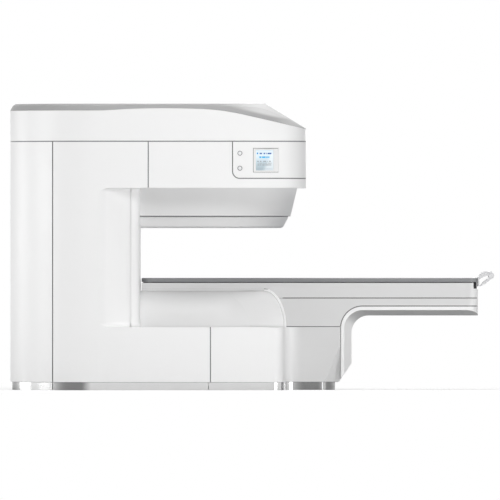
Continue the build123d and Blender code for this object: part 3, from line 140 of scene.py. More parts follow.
# Strips and fairings beside the poles
STRIP_DEPTH = 0.003
STRIP_SETBACK = 0.0003
STRIP_END = 0.026
STRIP_EDGE = 0.0004
SEAT_GAP = 0.0002
SEAT_SETBACK = 0.001
SEAT_EDGE = 0.0005
FAIRING_STEPS = 14
FAIRING_FIRST = 0.2
FAIRING_TURN = 88
FAIRING_CUTS = 6
FAIRING_LAP = 0.001
FAIRING_END_Y = 0.302
FAIRING_EDGE = 0.0012

# Mattress pad
PAD_LIFT = 0.0005
PAD_FRAMES = 12
PAD_PRESSURE = 4
PAD_PANELS = 6
PAD_FLAT = 0.001
WELT_IN = 0.0035
STITCH_HALF = 0.0011
STITCH_PITCH = 0.006
STITCH_SHARE = 0.7
CORNER_SEGMENTS = 8

# Stage
SENSOR_WIDTH = 36
FLOOR_TONE = (0.42, 0.42, 0.42, 1)
FLOOR_GLOW = 0.62
FLOOR_FADE = (1.6, 3.8)
CENTRE = (0.1, 0, 0.95)
# Name, place, target, size, power in watts, and whether polished parts mirror the lamp
LAMPS = (
    ("High Front Light", (0.2, -5.6, 4.4), CENTRE, (4.0, 2.4), 150, True),
    ("Low Front Light", (1.5, -6.5, 0.4), (0.2, 0, 0.9), (4.0, 0.7), 135, False),
    ("Left Light", (-6.4, -2.0, 1.6), (-1.0, 0, 0.95), (2.4, 2.4), 142, True),
    ("Rear Left Light", (-7.0, 2.6, 1.3), (-1.0, 0, 0.95), (3.0, 2.4), 105, True),
    ("Right Light", (4.6, -2.6, 0.8), (1.2, 0, 0.6), (1.6, 1.6), 48, True),
    ("Top Light", (0.2, -0.5, 6.2), CENTRE, (4.0, 3.0), 240, True),
    ("Back Light", (1.5, 6.0, 3.0), CENTRE, (3.0, 3.0), 150, True),
)


def colour(name, description, tone):
    """A colour that a user can change."""
    return bpy.props.FloatVectorProperty(
        name=name, description=description, subtype="COLOR", size=4, min=0, max=1, default=(*tone, 1)
    )


def length(name, description, default):
    """A length in metres that a user can change."""
    return bpy.props.FloatProperty(
        name=name, description=description, subtype="DISTANCE", unit="LENGTH", default=default
    )


class ScannerColours(bpy.types.PropertyGroup):
    """Colours of the scanner's finishes."""

    cover: colour("Covers", "White moulded covers of the magnet", (0.86, 0.86, 0.86))
    crown: colour("Crown", "Silver-grey lid of the magnet", (0.56, 0.56, 0.56))
    # Crown edge: painted shade on the lid's bevels and sides
    crown_shade: colour("Crown edge", "Darker bevels round the lid's rim", (0.33, 0.33, 0.33))
    joint: colour("Joints", "Shaded gaps between the covers", (0.16, 0.16, 0.16))
    pole: colour("Pole covers", "Covers round the two poles", (0.76, 0.76, 0.76))
    table: colour("Table panels", "Light grey panels of the table", (0.64, 0.64, 0.64))
    shell: colour("Foot shell", "Pale shell under the table's free end", (0.84, 0.84, 0.84))
    steel: colour("Stainless", "Polished plinth", (0.88, 0.88, 0.88))
    # Stainless shade: painted reflection, dark bands laid along the polished plinth
    steel_reflection: colour("Stainless shade", "Darker cloudings of the plinth", (0.28, 0.28, 0.28))
    bezel: colour("Bezel", "Frame round the display", (0.80, 0.80, 0.80))
    button: colour("Buttons", "Caps of the two buttons", (0.80, 0.80, 0.81))
    ring: colour("Button rings", "Metal rings round the buttons", (0.16, 0.16, 0.17))
    tabletop: colour("Tabletop", "Laminate of the sliding top", (0.25, 0.255, 0.26))
    pad: colour("Pad", "Vinyl of the mattress pad", (0.17, 0.20, 0.24))
    rubber: colour("Rubber", "End lip and buffers", (0.035, 0.035, 0.037))
    handle: colour("Handle", "Moulded push handle", (0.60, 0.60, 0.61))
    rail: colour("Rails", "Aluminium rails under the tabletop", (0.7, 0.7, 0.71))
    zinc: colour("Zinc parts", "Bolts, feet and roller brackets", (0.55, 0.56, 0.55))
    nylon: colour("Nylon", "Rollers and guide shoes", (0.05, 0.05, 0.055))
    yoke: colour("Yoke", "Primed steel of the yoke", (0.10, 0.11, 0.12))
    magnet: colour("Magnets", "Coating of the magnet blocks", (0.16, 0.17, 0.19))
    coil: colour("Coils", "Cast resin of the coils", (0.58, 0.52, 0.34))
    inner_frame: colour("Frames", "Powder coat of the inner frames", (0.24, 0.25, 0.26))


class ScannerView(bpy.types.PropertyGroup):
    """Camera, floor and light levels of the stage."""

    centre_x: length("Centre along", "Place of the picture's centre along the table", 0.2318)
    centre_z: length("Centre height", "Height of the picture's centre", 0.889)
    width: length("Picture width", "Width that the picture shows at the near side", 3.175)
    near_y: length("Measured plane", "Depth at which the picture's width is measured", -0.35)
    floor: length("Floor size", "Side of the square floor", 9.0)
    lens: bpy.props.FloatProperty(
        name="Lens", description="Focal length in millimetres", default=1500.0, min=20
    )
    sky: bpy.props.FloatProperty(name="Sky", description="Even light from all sides", default=0.0, min=0)


class ScannerSizes(bpy.types.PropertyGroup):
    """Small sizes of the soft and finished pieces."""

    joint_half: length("Joint half width", "Half the width of the shaded band along a joint", 0.0031)
    fairing_start: length("Fairing start", "Where the fairings leave the lower pole cover", 0.09)
    fairing_wall: length("Fairing wall", "Thickness of the fairings beside the lower pole", 0.004)
    seat_width: length("Seat width", "Width of the strips under the beam's edges", 0.005)
    strip_width: length("Strip width", "Width of the filler strips in the column's joints", 0.0034)
    pad_swell: length("Pad swell", "How far the filling may push the pad's cover out", 0.005)
    pad_corner: length("Pad corner", "Rounding of the pad's corners seen from above", 0.04)
    pad_edge: length("Pad edge", "Rounding of the pad's upper and lower edges", 0.0035)
    pad_voxel: length("Pad grain", "Size of the cells that the pad is remeshed to", 0.006)
    pad_fall: length("Pad fall", "How far the top drops towards the pad's edges", 0.002)
    seam_depth: length("Seam depth", "Depth of the seams across the pad", 0.003)
    seam_half: length("Seam half width", "Half the width of a seam's hollow", 0.012)
    welt_radius: length("Welt radius", "Radius of the welt round the pad", 0.002)


def props():
    """The scene's colours, view settings and sizes."""
    scene = bpy.context.scene
    return scene.scanner_colours, scene.scanner_view, scene.scanner_sizes


# Shader helpers
def put(tree, kind, x=0, y=0, **settings):
    """Adds one shader node and sets its plain settings."""
    node = tree.nodes.new(kind)
    node.location = (x, y)
    for name, value in settings.items():
        setattr(node, name, value)
    return node


def fill(node, **values):
    """Sets input sockets by name, with underscores for blanks."""
    for name, value in values.items():
        node.inputs[name.replace("_", " ")].default_value = value
    return node


def math_node(tree, operation, x, y, *sources):
    """A Math node whose inputs are linked sockets or plain numbers; returns its output."""
    node = put(tree, "ShaderNodeMath", x, y, operation=operation)
    for socket, source in zip(node.inputs, sources):
        if isinstance(source, (int, float)):
            socket.default_value = source
        else:
            tree.links.new(source, socket)
    return node.outputs["Value"]


def remap(tree, source, x=-300, y=0, smooth=False, **values):
    """Maps a value from one span to another; returns the node."""
    node = fill(put(tree, "ShaderNodeMapRange", x, y), **values)
    if smooth:
        node.interpolation_type = "SMOOTHSTEP"
    tree.links.new(source, node.inputs["Value"])
    return node


def ramp_mask(tree, source, low, high):
    """A mask that rises smoothly from 0 at low to 1 at high."""
    return remap(tree, source, -900, 600, True, From_Min=low, From_Max=high).outputs["Result"]


def object_place(tree, x=-900, y=300):
    """The object coordinates, in metres."""
    return put(tree, "ShaderNodeTexCoord", x, y).outputs["Object"]


def coordinate(tree, axis, x=-1300, y=600):
    """One object coordinate, in metres."""
    split = put(tree, "ShaderNodeSeparateXYZ", x + 150, y)
    tree.links.new(object_place(tree, x, y), split.inputs["Vector"])
    return split.outputs[axis]


def surface_up(tree):
    """How far the surface faces upwards, from -1 to 1, in the object's own axes."""
    facing = put(tree, "ShaderNodeTexCoord", -1300, 300)
    split = put(tree, "ShaderNodeSeparateXYZ", -1150, 300)
    tree.links.new(facing.outputs["Normal"], split.inputs["Vector"])
    return split.outputs["Z"]


def noise(tree, place, x, y, **values):
    """A noise texture on the given coordinates."""
    node = fill(put(tree, "ShaderNodeTexNoise", x, y), **values)
    tree.links.new(place, node.inputs["Vector"])
    return node


# Effects that several finishes share
def group_tree(name, inputs, outputs):
    """An empty node group with named number sockets; returns the tree and its two end nodes."""
    tree = bpy.data.node_groups.new(name, "ShaderNodeTree")
    for label, default in inputs.items():
        socket = tree.interface.new_socket(label, in_out="INPUT", socket_type="NodeSocketFloat")
        socket.default_value = default
    for label in outputs:
        tree.interface.new_socket(label, in_out="OUTPUT", socket_type="NodeSocketFloat")
    return tree, put(tree, "NodeGroupInput", -900), put(tree, "NodeGroupOutput", 600)


def moulded_texture():
    """Fine leathery texture of moulded covers, with faint broad unevenness of gloss."""
    tree, start, end = group_tree(
        "Moulded Texture", {"Scale": 420.0, "Unevenness": 0.5}, ("Height", "Gloss Mask")
    )
    place = object_place(tree)
    fine = noise(tree, place, -500, 300, Detail=3.0, Roughness=0.55)
    tree.links.new(start.outputs["Scale"], fine.inputs["Scale"])
    broad = noise(tree, place, -500, 0, Scale=2.4, Detail=4.0, Roughness=0.6)
    span = remap(tree, broad.outputs["Fac"], -200, 0, From_Min=0.3, From_Max=0.7, To_Min=0.0)
    tree.links.new(start.outputs["Unevenness"], span.inputs["To Max"])
    tree.links.new(fine.outputs["Fac"], end.inputs["Height"])
    tree.links.new(span.outputs["Result"], end.inputs["Gloss Mask"])
    return tree


def floor_dust():
    """Mask of faint soiling that fades out upwards from the floor."""
    tree, start, end = group_tree("Floor Dust", {"Reach": 0.25, "Strength": 0.25}, ("Mask",))
    height = coordinate(tree, "Z", -850, 300)
    fall = remap(tree, height, -400, 300, From_Min=0.0, To_Min=1.0, To_Max=0.0)
    tree.links.new(start.outputs["Reach"], fall.inputs["From Max"])
    blot = noise(tree, object_place(tree, -700, 0), -400, 0, Scale=9.0, Detail=6.0, Roughness=0.65)
    both = math_node(tree, "MULTIPLY", -100, 200, fall.outputs["Result"], blot.outputs["Fac"])
    level = math_node(tree, "MULTIPLY", 150, 200, both, start.outputs["Strength"])
    tree.links.new(level, end.inputs["Mask"])
    return tree


def brushed_streaks():
    """Long fine streaks along X, for brushed and rolled metal."""
    tree, start, end = group_tree("Brushed Streaks", {"Fineness": 260.0}, ("Height", "Gloss Mask"))
    place = object_place(tree)
    stretch = fill(put(tree, "ShaderNodeMapping", -700, 300), Scale=(0.02, 0.6, 1.0))
    tree.links.new(place, stretch.inputs["Vector"])
    lines = noise(tree, stretch.outputs["Vector"], -450, 300, Detail=4.0, Roughness=0.6)
    tree.links.new(start.outputs["Fineness"], lines.inputs["Scale"])
    broad = noise(tree, place, -450, 0, Scale=5.0, Detail=3.0)
    mixed = math_node(tree, "ADD", -150, 100, lines.outputs["Fac"], broad.outputs["Fac"])
    tree.links.new(lines.outputs["Fac"], end.inputs["Height"])
    tree.links.new(math_node(tree, "MULTIPLY", 50, 100, mixed, 0.5), end.inputs["Gloss Mask"])
    return tree


def vinyl_grain():
    """Pebbled grain of upholstery vinyl with darker pores."""
    tree, start, end = group_tree("Vinyl Grain", {"Scale": 380.0}, ("Height", "Pores"))
    cells = put(tree, "ShaderNodeTexVoronoi", -500, 300, feature="DISTANCE_TO_EDGE")
    tree.links.new(object_place(tree), cells.inputs["Vector"])
    tree.links.new(start.outputs["Scale"], cells.inputs["Scale"])
    edge = cells.outputs["Distance"]
    pebble = remap(tree, edge, -200, 300, True, From_Min=0.0, From_Max=0.25)
    pores = remap(tree, edge, -200, 0, From_Min=0.0, From_Max=0.12, To_Min=1.0, To_Max=0.0)
    tree.links.new(pebble.outputs["Result"], end.inputs["Height"])
    tree.links.new(pores.outputs["Result"], end.inputs["Pores"])
    return tree


def panel_joint():
    """Band along the outline of a round-cornered panel, seen from the side."""
    sides = {"Left": -9.0, "Right": 9.0, "Low": -9.0, "High": 9.0, "Radius": 0.0, "Width": 0.003}
    tree, start, end = group_tree("Panel Joint", sides, ("Mask",))
    insides = []
    for row, (axis, low, high) in enumerate((("X", "Left", "Right"), ("Z", "Low", "High"))):
        y = 300 - 350 * row
        span = math_node(tree, "SUBTRACT", -600, y, start.outputs[high], start.outputs[low])
        half = math_node(tree, "MULTIPLY", -450, y, span, 0.5)
        middle = math_node(tree, "ADD", -300, y, start.outputs[low], half)
        offset = math_node(tree, "SUBTRACT", -150, y, coordinate(tree, axis, -900, y + 150), middle)
        beside = math_node(tree, "ABSOLUTE", 0, y, offset)
        over = math_node(tree, "SUBTRACT", 150, y, beside, half)
        insides.append(math_node(tree, "ADD", 300, y, over, start.outputs["Radius"]))
    squares = []
    for row, part in enumerate(insides):
        outside = math_node(tree, "MAXIMUM", 450, 200 - 200 * row, part, 0.0)
        squares.append(math_node(tree, "POWER", 600, 200 - 200 * row, outside, 2.0))
    corner = math_node(tree, "SQRT", 900, 100, math_node(tree, "ADD", 750, 100, *squares))
    deepest = math_node(tree, "MAXIMUM", 750, -150, *insides)
    inner = math_node(tree, "MINIMUM", 900, -150, deepest, 0.0)
    both = math_node(tree, "ADD", 1050, 0, corner, inner)
    edge = math_node(tree, "SUBTRACT", 1200, 0, both, start.outputs["Radius"])
    away = math_node(tree, "ABSOLUTE", 1350, 0, edge)
    near = math_node(tree, "LESS_THAN", 1500, 0, away, start.outputs["Width"])
    tree.links.new(near, end.inputs["Mask"])
    end.location = (1700, 0)
    return tree


EFFECTS = {
    "Moulded Texture": moulded_texture,
    "Floor Dust": floor_dust,
    "Brushed Streaks": brushed_streaks,
    "Vinyl Grain": vinyl_grain,
    "Panel Joint": panel_joint,
}


def use_effect(tree, name, x, y, **values):
    """Places an effect group in a material; the group is made at its first use."""
    group = bpy.data.node_groups.get(name) or EFFECTS[name]()
    return fill(put(tree, "ShaderNodeGroup", x, y, node_tree=group), **values)


# Finishes
def new_finish(name, **values):
    """A material with one Principled shader whose fixed values are set on its sockets."""
    material = bpy.data.materials.new(name)
    material.use_nodes = True
    tree = material.node_tree
    shader = fill(tree.nodes["Principled BSDF"], **values)
    return material, tree, shader


def vary(tree, mask, shader, socket, low, high):
    """Feeds a shader socket with values between low and high by a mask."""
    span = remap(tree, mask, -300, 0, To_Min=low, To_Max=high)
    tree.links.new(span.outputs["Result"], shader.inputs[socket])


def tint(tree, mask, shader, base, other):
    """Base colour that moves from base to other by a mask."""
    mix = put(tree, "ShaderNodeMix", -300, 300, data_type="RGBA")
    mix.inputs["A"].default_value = base
    mix.inputs["B"].default_value = other
    tree.links.new(mask, mix.inputs["Factor"])
    tree.links.new(mix.outputs["Result"], shader.inputs["Base Color"])


def overlay(tree, mask, tone):
    """Lays one more colour over a finish's base colour by a mask."""
    shader = tree.nodes["Principled BSDF"]
    before = shader.inputs["Base Color"].links[0].from_socket
    mix = put(tree, "ShaderNodeMix", -100, 500, data_type="RGBA")
    mix.inputs["B"].default_value = tone
    tree.links.new(before, mix.inputs["A"])
    tree.links.new(mask, mix.inputs["Factor"])
    tree.links.new(mix.outputs["Result"], shader.inputs["Base Color"])


def emboss(tree, height, shader, strength, distance):
    """Bump from a height, in metres, into the shader's normal."""
    bump = fill(put(tree, "ShaderNodeBump", -300, -300), Strength=strength, Distance=distance)
    tree.links.new(height, bump.inputs["Height"])
    tree.links.new(bump.outputs["Normal"], shader.inputs["Normal"])


def darker(tone, share):
    """A colour at a share of its strength."""
    return (tone[0] * share, tone[1] * share, tone[2] * share, 1)


def moulded_finish(name, tone, gloss=0.42, scale=420.0, relief=0.12, dust=0.25, specular=0.4):
    """Painted or moulded cover: fine texture, uneven gloss and faint dust near the floor."""
    material, tree, shader = new_finish(name, Specular_IOR_Level=specular)
    texture = use_effect(tree, "Moulded Texture", -800, -100, Scale=scale, Unevenness=1.0)
    soil = use_effect(tree, "Floor Dust", -800, 300, Reach=0.35, Strength=dust)
    tint(tree, soil.outputs["Mask"], shader, tuple(tone), darker(tone, 0.8))
    vary(tree, texture.outputs["Gloss Mask"], shader, "Roughness", gloss - 0.04, gloss + 0.05)
    emboss(tree, texture.outputs["Height"], shader, strength=relief, distance=0.0002)
    return material


def metal_finish(name, tone, gloss=0.22, fineness=260.0):
    """Bare or plated metal with fine streaks."""
    material, tree, shader = new_finish(name, Metallic=1.0)
    streaks = use_effect(tree, "Brushed Streaks", -800, 0, Fineness=fineness)
    tint(tree, streaks.outputs["Gloss Mask"], shader, darker(tone, 0.9), tuple(tone))
    vary(tree, streaks.outputs["Gloss Mask"], shader, "Roughness", gloss - 0.06, gloss + 0.08)
    emboss(tree, streaks.outputs["Height"], shader, strength=0.1, distance=0.0001)
    return material


def vinyl_finish(name, tone):
    """Upholstery vinyl with pebbled grain."""
    material, tree, shader = new_finish(name, Specular_IOR_Level=0.45)
    grain = use_effect(tree, "Vinyl Grain", -800, 0, Scale=420.0)
    tint(tree, grain.outputs["Pores"], shader, tuple(tone), darker(tone, 0.72))
    vary(tree, grain.outputs["Pores"], shader, "Roughness", 0.42, 0.62)
    emboss(tree, grain.outputs["Height"], shader, strength=0.35, distance=0.0004)
    return material


def cast_finish(name, tone, gloss=0.6, relief=0.4):
    """Primed steel, coated blocks and cast resin: a coarser, blotchy surface."""
    material, tree, shader = new_finish(name, Specular_IOR_Level=0.35)
    texture = use_effect(tree, "Moulded Texture", -800, 0, Scale=90.0, Unevenness=1.0)
    tint(tree, texture.outputs["Gloss Mask"], shader, tuple(tone), darker(tone, 0.82))
    vary(tree, texture.outputs["Gloss Mask"], shader, "Roughness", gloss - 0.08, gloss + 0.1)
    emboss(tree, texture.outputs["Height"], shader, strength=relief, distance=0.0005)
    return material


def shade_joints(material, joints):
    """Darkens a finish along its joints, given as the outlines of panels seen from the side."""
    tones, _, sizes = props()
    tree = material.node_tree
    mask = None
    for row, joint in enumerate(joints):
        band = use_effect(tree, "Panel Joint", -1100, 900 + 220 * row, Width=sizes.joint_half, **joint)
        found = band.outputs["Mask"]
        mask = found if mask is None else math_node(tree, "MAXIMUM", -850 + 100 * row, 900, mask, found)
    overlay(tree, mask, tones.joint)
    return material


def dress(names, material):
    """Gives CAD nodes their finish."""
    for name in names:
        node = NODES[name]
        node.data.materials.clear()
        node.data.materials.append(material)


# Mesh helpers
def new_piece(name, bm):
    """Makes an object of a finished bmesh."""
    mesh = bpy.data.meshes.new(name)
    bm.to_mesh(mesh)
    bm.free()
    piece = bpy.data.objects.new(name, mesh)
    bpy.context.scene.collection.objects.link(piece)
    return piece


def add_block(bm, size, centre):
    """Adds a block of the given size round a centre."""
    made = bmesh.ops.create_cube(bm, size=1)["verts"]
    bmesh.ops.scale(bm, vec=size, verts=made)
    bmesh.ops.translate(bm, vec=centre, verts=made)


def round_off(bm, geom, offset, segments, affect="EDGES"):
    """Rounds edges or corners."""
    bmesh.ops.bevel(
        bm, geom=geom, offset=offset, segments=segments, profile=0.5, affect=affect, material=-1
    )


def smooth(piece):
    """Shades a piece smoothly."""
    for face in piece.data.polygons:
        face.use_smooth = True


def bake_modifiers(piece):
    """Applies a piece's modifiers to its mesh."""
    depsgraph = bpy.context.evaluated_depsgraph_get()
    mesh = bpy.data.meshes.new_from_object(piece.evaluated_get(depsgraph))
    piece.modifiers.clear()
    old = piece.data
    piece.data = mesh
    bpy.data.meshes.remove(old)


# Stage
class SCANNER_OT_stage(bpy.types.Operator):
    """Sets up the camera, the floor and soft light"""

    bl_idname = "scanner.stage"
    bl_label = "Stage"

    def execute(self, context):
        _, view, _ = props()
        scene = context.scene
        scene.view_settings.view_transform = "Standard"
        camera = bpy.data.cameras.new("Camera")
        camera.sensor_width = SENSOR_WIDTH
        camera.lens = view.lens
        distance = view.width / 2 * view.lens / (SENSOR_WIDTH / 2)
        camera.clip_start = 1
        camera.clip_end = distance * 3
        shooter = bpy.data.objects.new("Camera", camera)
        scene.collection.objects.link(shooter)
        shooter.location = (view.centre_x, view.near_y - distance, view.centre_z)
        shooter.rotation_euler = (math.pi / 2, 0, 0)
        scene.camera = shooter

        bm = bmesh.new()
        bmesh.ops.create_grid(bm, x_segments=1, y_segments=1, size=view.floor / 2)
        floor = new_piece("Floor", bm)
        floor.data.materials.append(floor_finish())

        white_sky(view.sky)
        for lamp in LAMPS:
            softbox(*lamp)
        return {"FINISHED"}


def softbox(name, place, target, size, power, mirrored):
    """One soft rectangular lamp, which polished parts mirror or not."""
    lamp = bpy.data.lights.new(name, "AREA")
    lamp.shape = "RECTANGLE"
    lamp.size, lamp.size_y = size
    lamp.energy = power
    obj = bpy.data.objects.new(name, lamp)
    bpy.context.scene.collection.objects.link(obj)
    obj.location = place
    direction = Vector(target) - obj.location
    obj.rotation_euler = direction.to_track_quat("-Z", "Y").to_euler()
    obj.visible_camera = False
    obj.visible_glossy = mirrored


def white_sky(strength):
    """Even light, and plain white where the camera or a reflection sees it."""
    world = bpy.data.worlds.new("Studio")
    bpy.context.scene.world = world
    world.use_nodes = True
    tree = world.node_tree
    back = fill(tree.nodes["Background"], Color=(1, 1, 1, 1))
    path = put(tree, "ShaderNodeLightPath", -900, 200)
    seen = path.outputs["Is Camera Ray"]
    for x, ray in ((-650, "Is Glossy Ray"), (-450, "Is Transmission Ray")):
        seen = math_node(tree, "MAXIMUM", x, 200, seen, path.outputs[ray])
    level = remap(tree, seen, -250, 200, To_Min=strength, To_Max=1.0)
    tree.links.new(level.outputs["Result"], back.inputs["Strength"])


def floor_finish():
    """Pale floor that keeps shadows and fades to the white background around the object."""
    material, tree, shader = new_finish(
        "Pale Floor", Base_Color=(0.5, 0.5, 0.5, 1), Specular_IOR_Level=0.0, Roughness=0.9
    )
    path = put(tree, "ShaderNodeLightPath", -600, 300)
    seen = fill(put(tree, "ShaderNodeBsdfDiffuse", 0, -200), Color=FLOOR_TONE)
    glow = fill(put(tree, "ShaderNodeEmission", 0, -350), Strength=FLOOR_GLOW)
    pale = put(tree, "ShaderNodeAddShader", 250, -250)
    tree.links.new(seen.outputs["BSDF"], pale.inputs[0])
    tree.links.new(glow.outputs["Emission"], pale.inputs[1])
    away = put(tree, "ShaderNodeVectorMath", -450, 0, operation="LENGTH")
    tree.links.new(object_place(tree, -600, 0), away.inputs[0])
    white = fill(put(tree, "ShaderNodeEmission", 250, -400), Strength=1.0)
    fade = put(tree, "ShaderNodeMixShader", 450, -250)
    tree.links.new(ramp_mask(tree, away.outputs["Value"], *FLOOR_FADE), fade.inputs["Fac"])
    tree.links.new(pale.outputs["Shader"], fade.inputs[1])
    tree.links.new(white.outputs["Emission"], fade.inputs[2])
    choose = put(tree, "ShaderNodeMixShader", 650, 100)
    tree.links.new(path.outputs["Is Camera Ray"], choose.inputs["Fac"])
    tree.links.new(shader.outputs["BSDF"], choose.inputs[1])
    tree.links.new(fade.outputs["Shader"], choose.inputs[2])
    tree.links.new(choose.outputs["Shader"], tree.nodes["Material Output"].inputs["Surface"])
    return material


# Magnet
class SCANNER_OT_magnet_covers(bpy.types.Operator):
    """Finishes the white covers of the magnet"""

    bl_idname = "scanner.magnet_covers"
    bl_label = "Magnet covers"

    def execute(self, context):
        tones, _, _ = props()
        white = moulded_finish("White Cover", tones.cover)
        dress(MAGNET_COVERS, shade_joints(white, MAGNET_JOINTS))
        dress(("top_cover",), shade_joints(moulded_finish("Top Cover", tones.cover), (TOP_JOINT,)))
        dress(("base_front_cover",), base_front_finish(tones.cover, tones.table))
        dress(("crown",), crown_finish(tones.crown, tones.crown_shade))
        return {"FINISHED"}


def base_front_finish(white, shade_grey):
    """The base's front moulding, white at the magnet and, as painted shade, light grey from where it
    turns in to the table's pedestal.
    """
    material = moulded_finish("Base Front", white)
    tree = material.node_tree
    # Painted shade: the table panels' grey laid on where the moulding turns in
    overlay(tree, ramp_mask(tree, coordinate(tree, "X"), *BASE_SHADE_X), shade_grey)
    return shade_joints(material, BASE_JOINTS)


def crown_finish(silver, edge):
    """Satin silver lid with painted shade on its bevels and steep sides; the roof, the upper front slope
    and the nose keep the paler silver as painted light.
    """
    material = moulded_finish("Crown", silver, gloss=0.45, dust=0.0, specular=0.15)
    tree = material.node_tree
    along, up = coordinate(tree, "X"), coordinate(tree, "Z")
    beyond = math_node(tree, "SUBTRACT", -1200, 800, along, CROWN_FALL_X)
    ahead = math_node(tree, "MAXIMUM", -1050, 800, beyond, 0.0)
    drop = math_node(tree, "MULTIPLY", -900, 800, ahead, CROWN_FALL)
    level = math_node(tree, "ADD", -750, 800, up, drop)
    above = ramp_mask(tree, level, *CROWN_BEVEL_Z)
    front = ramp_mask(tree, along, *CROWN_FRONT_X)
    nose = ramp_mask(tree, along, *CROWN_NOSE_X)
    roof = ramp_mask(tree, surface_up(tree), *ROOF_FACING)
    slope = math_node(tree, "MULTIPLY", -600, 800, above, front)
    pale = math_node(tree, "MAXIMUM", -450, 800, slope, nose)
    shaded_rim = math_node(tree, "SUBTRACT", -300, 800, 1.0, pale)
    side = math_node(tree, "SUBTRACT", -300, 950, 1.0, roof)
    # Painted shade on the crown's sides and bevels
    overlay(tree, math_node(tree, "MULTIPLY", -150, 800, shaded_rim, side), edge)
    return material


class SCANNER_OT_column_strips(bpy.types.Operator):
    """Makes the white filler strips in the joints beside the column's front"""

    bl_idname = "scanner.column_strips"
    bl_label = "Column filler strips"

    def execute(self, context):
        tones, _, sizes = props()
        _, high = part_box("column_cover")
        tall = GAP_TOP - DECK_LEVEL - 2 * STRIP_END
        bm = bmesh.new()
        for side in (-1, 1):
            y = side * (high.y - STRIP_DEPTH / 2 - STRIP_SETBACK)
            centre = (COLUMN_JOINT_X, y, (DECK_LEVEL + GAP_TOP) / 2)
            add_block(bm, (sizes.strip_width, STRIP_DEPTH, tall), centre)
        round_off(bm, bm.edges[:], STRIP_EDGE, 2)
        strips = new_piece("column_strips", bm)
        strips.data.materials.append(moulded_finish("Filler Strip", tones.cover, dust=0.0))
        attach(strips, "magnet")
        return {"FINISHED"}


class SCANNER_OT_pole_covers(bpy.types.Operator):
    """Finishes the pole covers and makes the fairings from the lower one to the table"""

    bl_idname = "scanner.pole_covers"
    bl_label = "Pole covers"

    def execute(self, context):
        tones, _, _ = props()
        finish = moulded_finish("Pole Cover", tones.pole, gloss=0.40)
        dress(POLE_COVERS, shade_joints(finish, (HOUSING_JOINT,)))
        seats = new_piece("beam_seats", seat_mesh())
        seats.data.materials.append(moulded_finish("Seat Strip", tones.table, gloss=0.6, dust=0.0))
        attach(seats, "magnet")
        fairings = new_piece("pole_fairings", fairing_mesh())
        fairings.data.materials.append(moulded_finish("Pole Fairing", tones.pole, gloss=0.40))
        smooth(fairings)
        edges = fairings.modifiers.new("Edges", "BEVEL")
        edges.width = FAIRING_EDGE
        edges.segments = 2
        edges.limit_method = "ANGLE"
        edges.angle_limit = math.radians(40)
        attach(fairings, "magnet")
        return {"FINISHED"}


def seat_mesh():
    """Two strips that carry the beam's edges on the flat top of the lower pole cover."""
    _, _, sizes = props()
    low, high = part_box("beam_cover")
    long = POLE_TOP_R - low.x - 2 * SEAT_GAP
    tall = BEAM_UNDER_Z - POLE_TOP_Z - 2 * SEAT_GAP
    bm = bmesh.new()
    for side in (-1, 1):
        y = side * (high.y - sizes.seat_width / 2 - SEAT_SETBACK)
        centre = (low.x + long / 2 + SEAT_GAP, y, (BEAM_UNDER_Z + POLE_TOP_Z) / 2)
        add_block(bm, (long, sizes.seat_width, tall), centre)
    round_off(bm, bm.edges[:], SEAT_EDGE, 2)
    return bm


def fairing_mesh():
    """Skins that run from the pole cover's side, flat along the table, to its round outline."""
    _, _, sizes = props()
    x = sizes.fairing_start
    bm = bmesh.new()
    for side in (-1, 1):
        near, far = [], []
        for step in range(FAIRING_STEPS + 1):
            turn = math.radians(FAIRING_FIRST + FAIRING_TURN * step / FAIRING_STEPS)
            reach = POLE_TOP_R + (POLE_R - POLE_TOP_R) * math.cos(turn)
            y = math.sqrt(reach ** 2 - x ** 2) - FAIRING_LAP
            z = DECK_LEVEL + (POLE_TOP_Z - DECK_LEVEL) * math.sin(turn)
            near.append(bm.verts.new((x, side * y, z)))
            far.append(bm.verts.new((reach - FAIRING_LAP, side * FAIRING_END_Y, z)))
        chains = [bm.edges.new(pair) for line in (near, far) for pair in zip(line, line[1:])]
        skin = bmesh.ops.bridge_loops(bm, edges=chains)["faces"]
        bridges = [edge for edge in bm.edges if leaves_start(edge, x) and edge.link_faces[0] in skin]
        bmesh.ops.subdivide_edges(bm, edges=bridges, cuts=FAIRING_CUTS)
    bmesh.ops.recalc_face_normals(bm, faces=bm.faces[:])
    for face in bm.faces:
        if face.normal.y * face.calc_center_median().y < 0:
            face.normal_flip()
    bmesh.ops.solidify(bm, geom=bm.faces[:], thickness=sizes.fairing_wall)
    bmesh.ops.recalc_face_normals(bm, faces=bm.faces[:])
    return bm


def leaves_start(edge, x):
    """Whether an edge runs from the fairing's start to a place farther along."""
    line = x + FAIRING_LAP
    return (edge.verts[0].co.x < line) != (edge.verts[1].co.x < line)


class SCANNER_OT_plinth(bpy.types.Operator):
    """Finishes the stainless plinth"""

    bl_idname = "scanner.plinth"
    bl_label = "Plinth"

    def execute(self, context):
        tones, _, _ = props()
        dress(PLINTH, plinth_finish(tones.steel, tones.steel_reflection))
        return {"FINISHED"}


def plinth_finish(bright, dark):
    """Polished steel with broad dark bands of painted reflection where the band turns the corners."""
    material = metal_finish("Stainless", bright, gloss=0.16)
    tree = material.node_tree
    along = coordinate(tree, "X")
    mask = None
    for row, (left, peak, right) in enumerate(PLINTH_DARK_REFLECTIONS):
        rise = ramp_mask(tree, along, left, peak)
        fall = ramp_mask(tree, along, right, right + PLINTH_REFLECTION_END)
        dark_reflection = math_node(tree, "SUBTRACT", -700, 900 + 100 * row, rise, fall)
        mask = dark_reflection if mask is None else math_node(tree, "MAXIMUM", -500, 900, mask, dark_reflection)
    # Painted reflection: dark bands in the steel's colour
    overlay(tree, mask, dark)
    return material


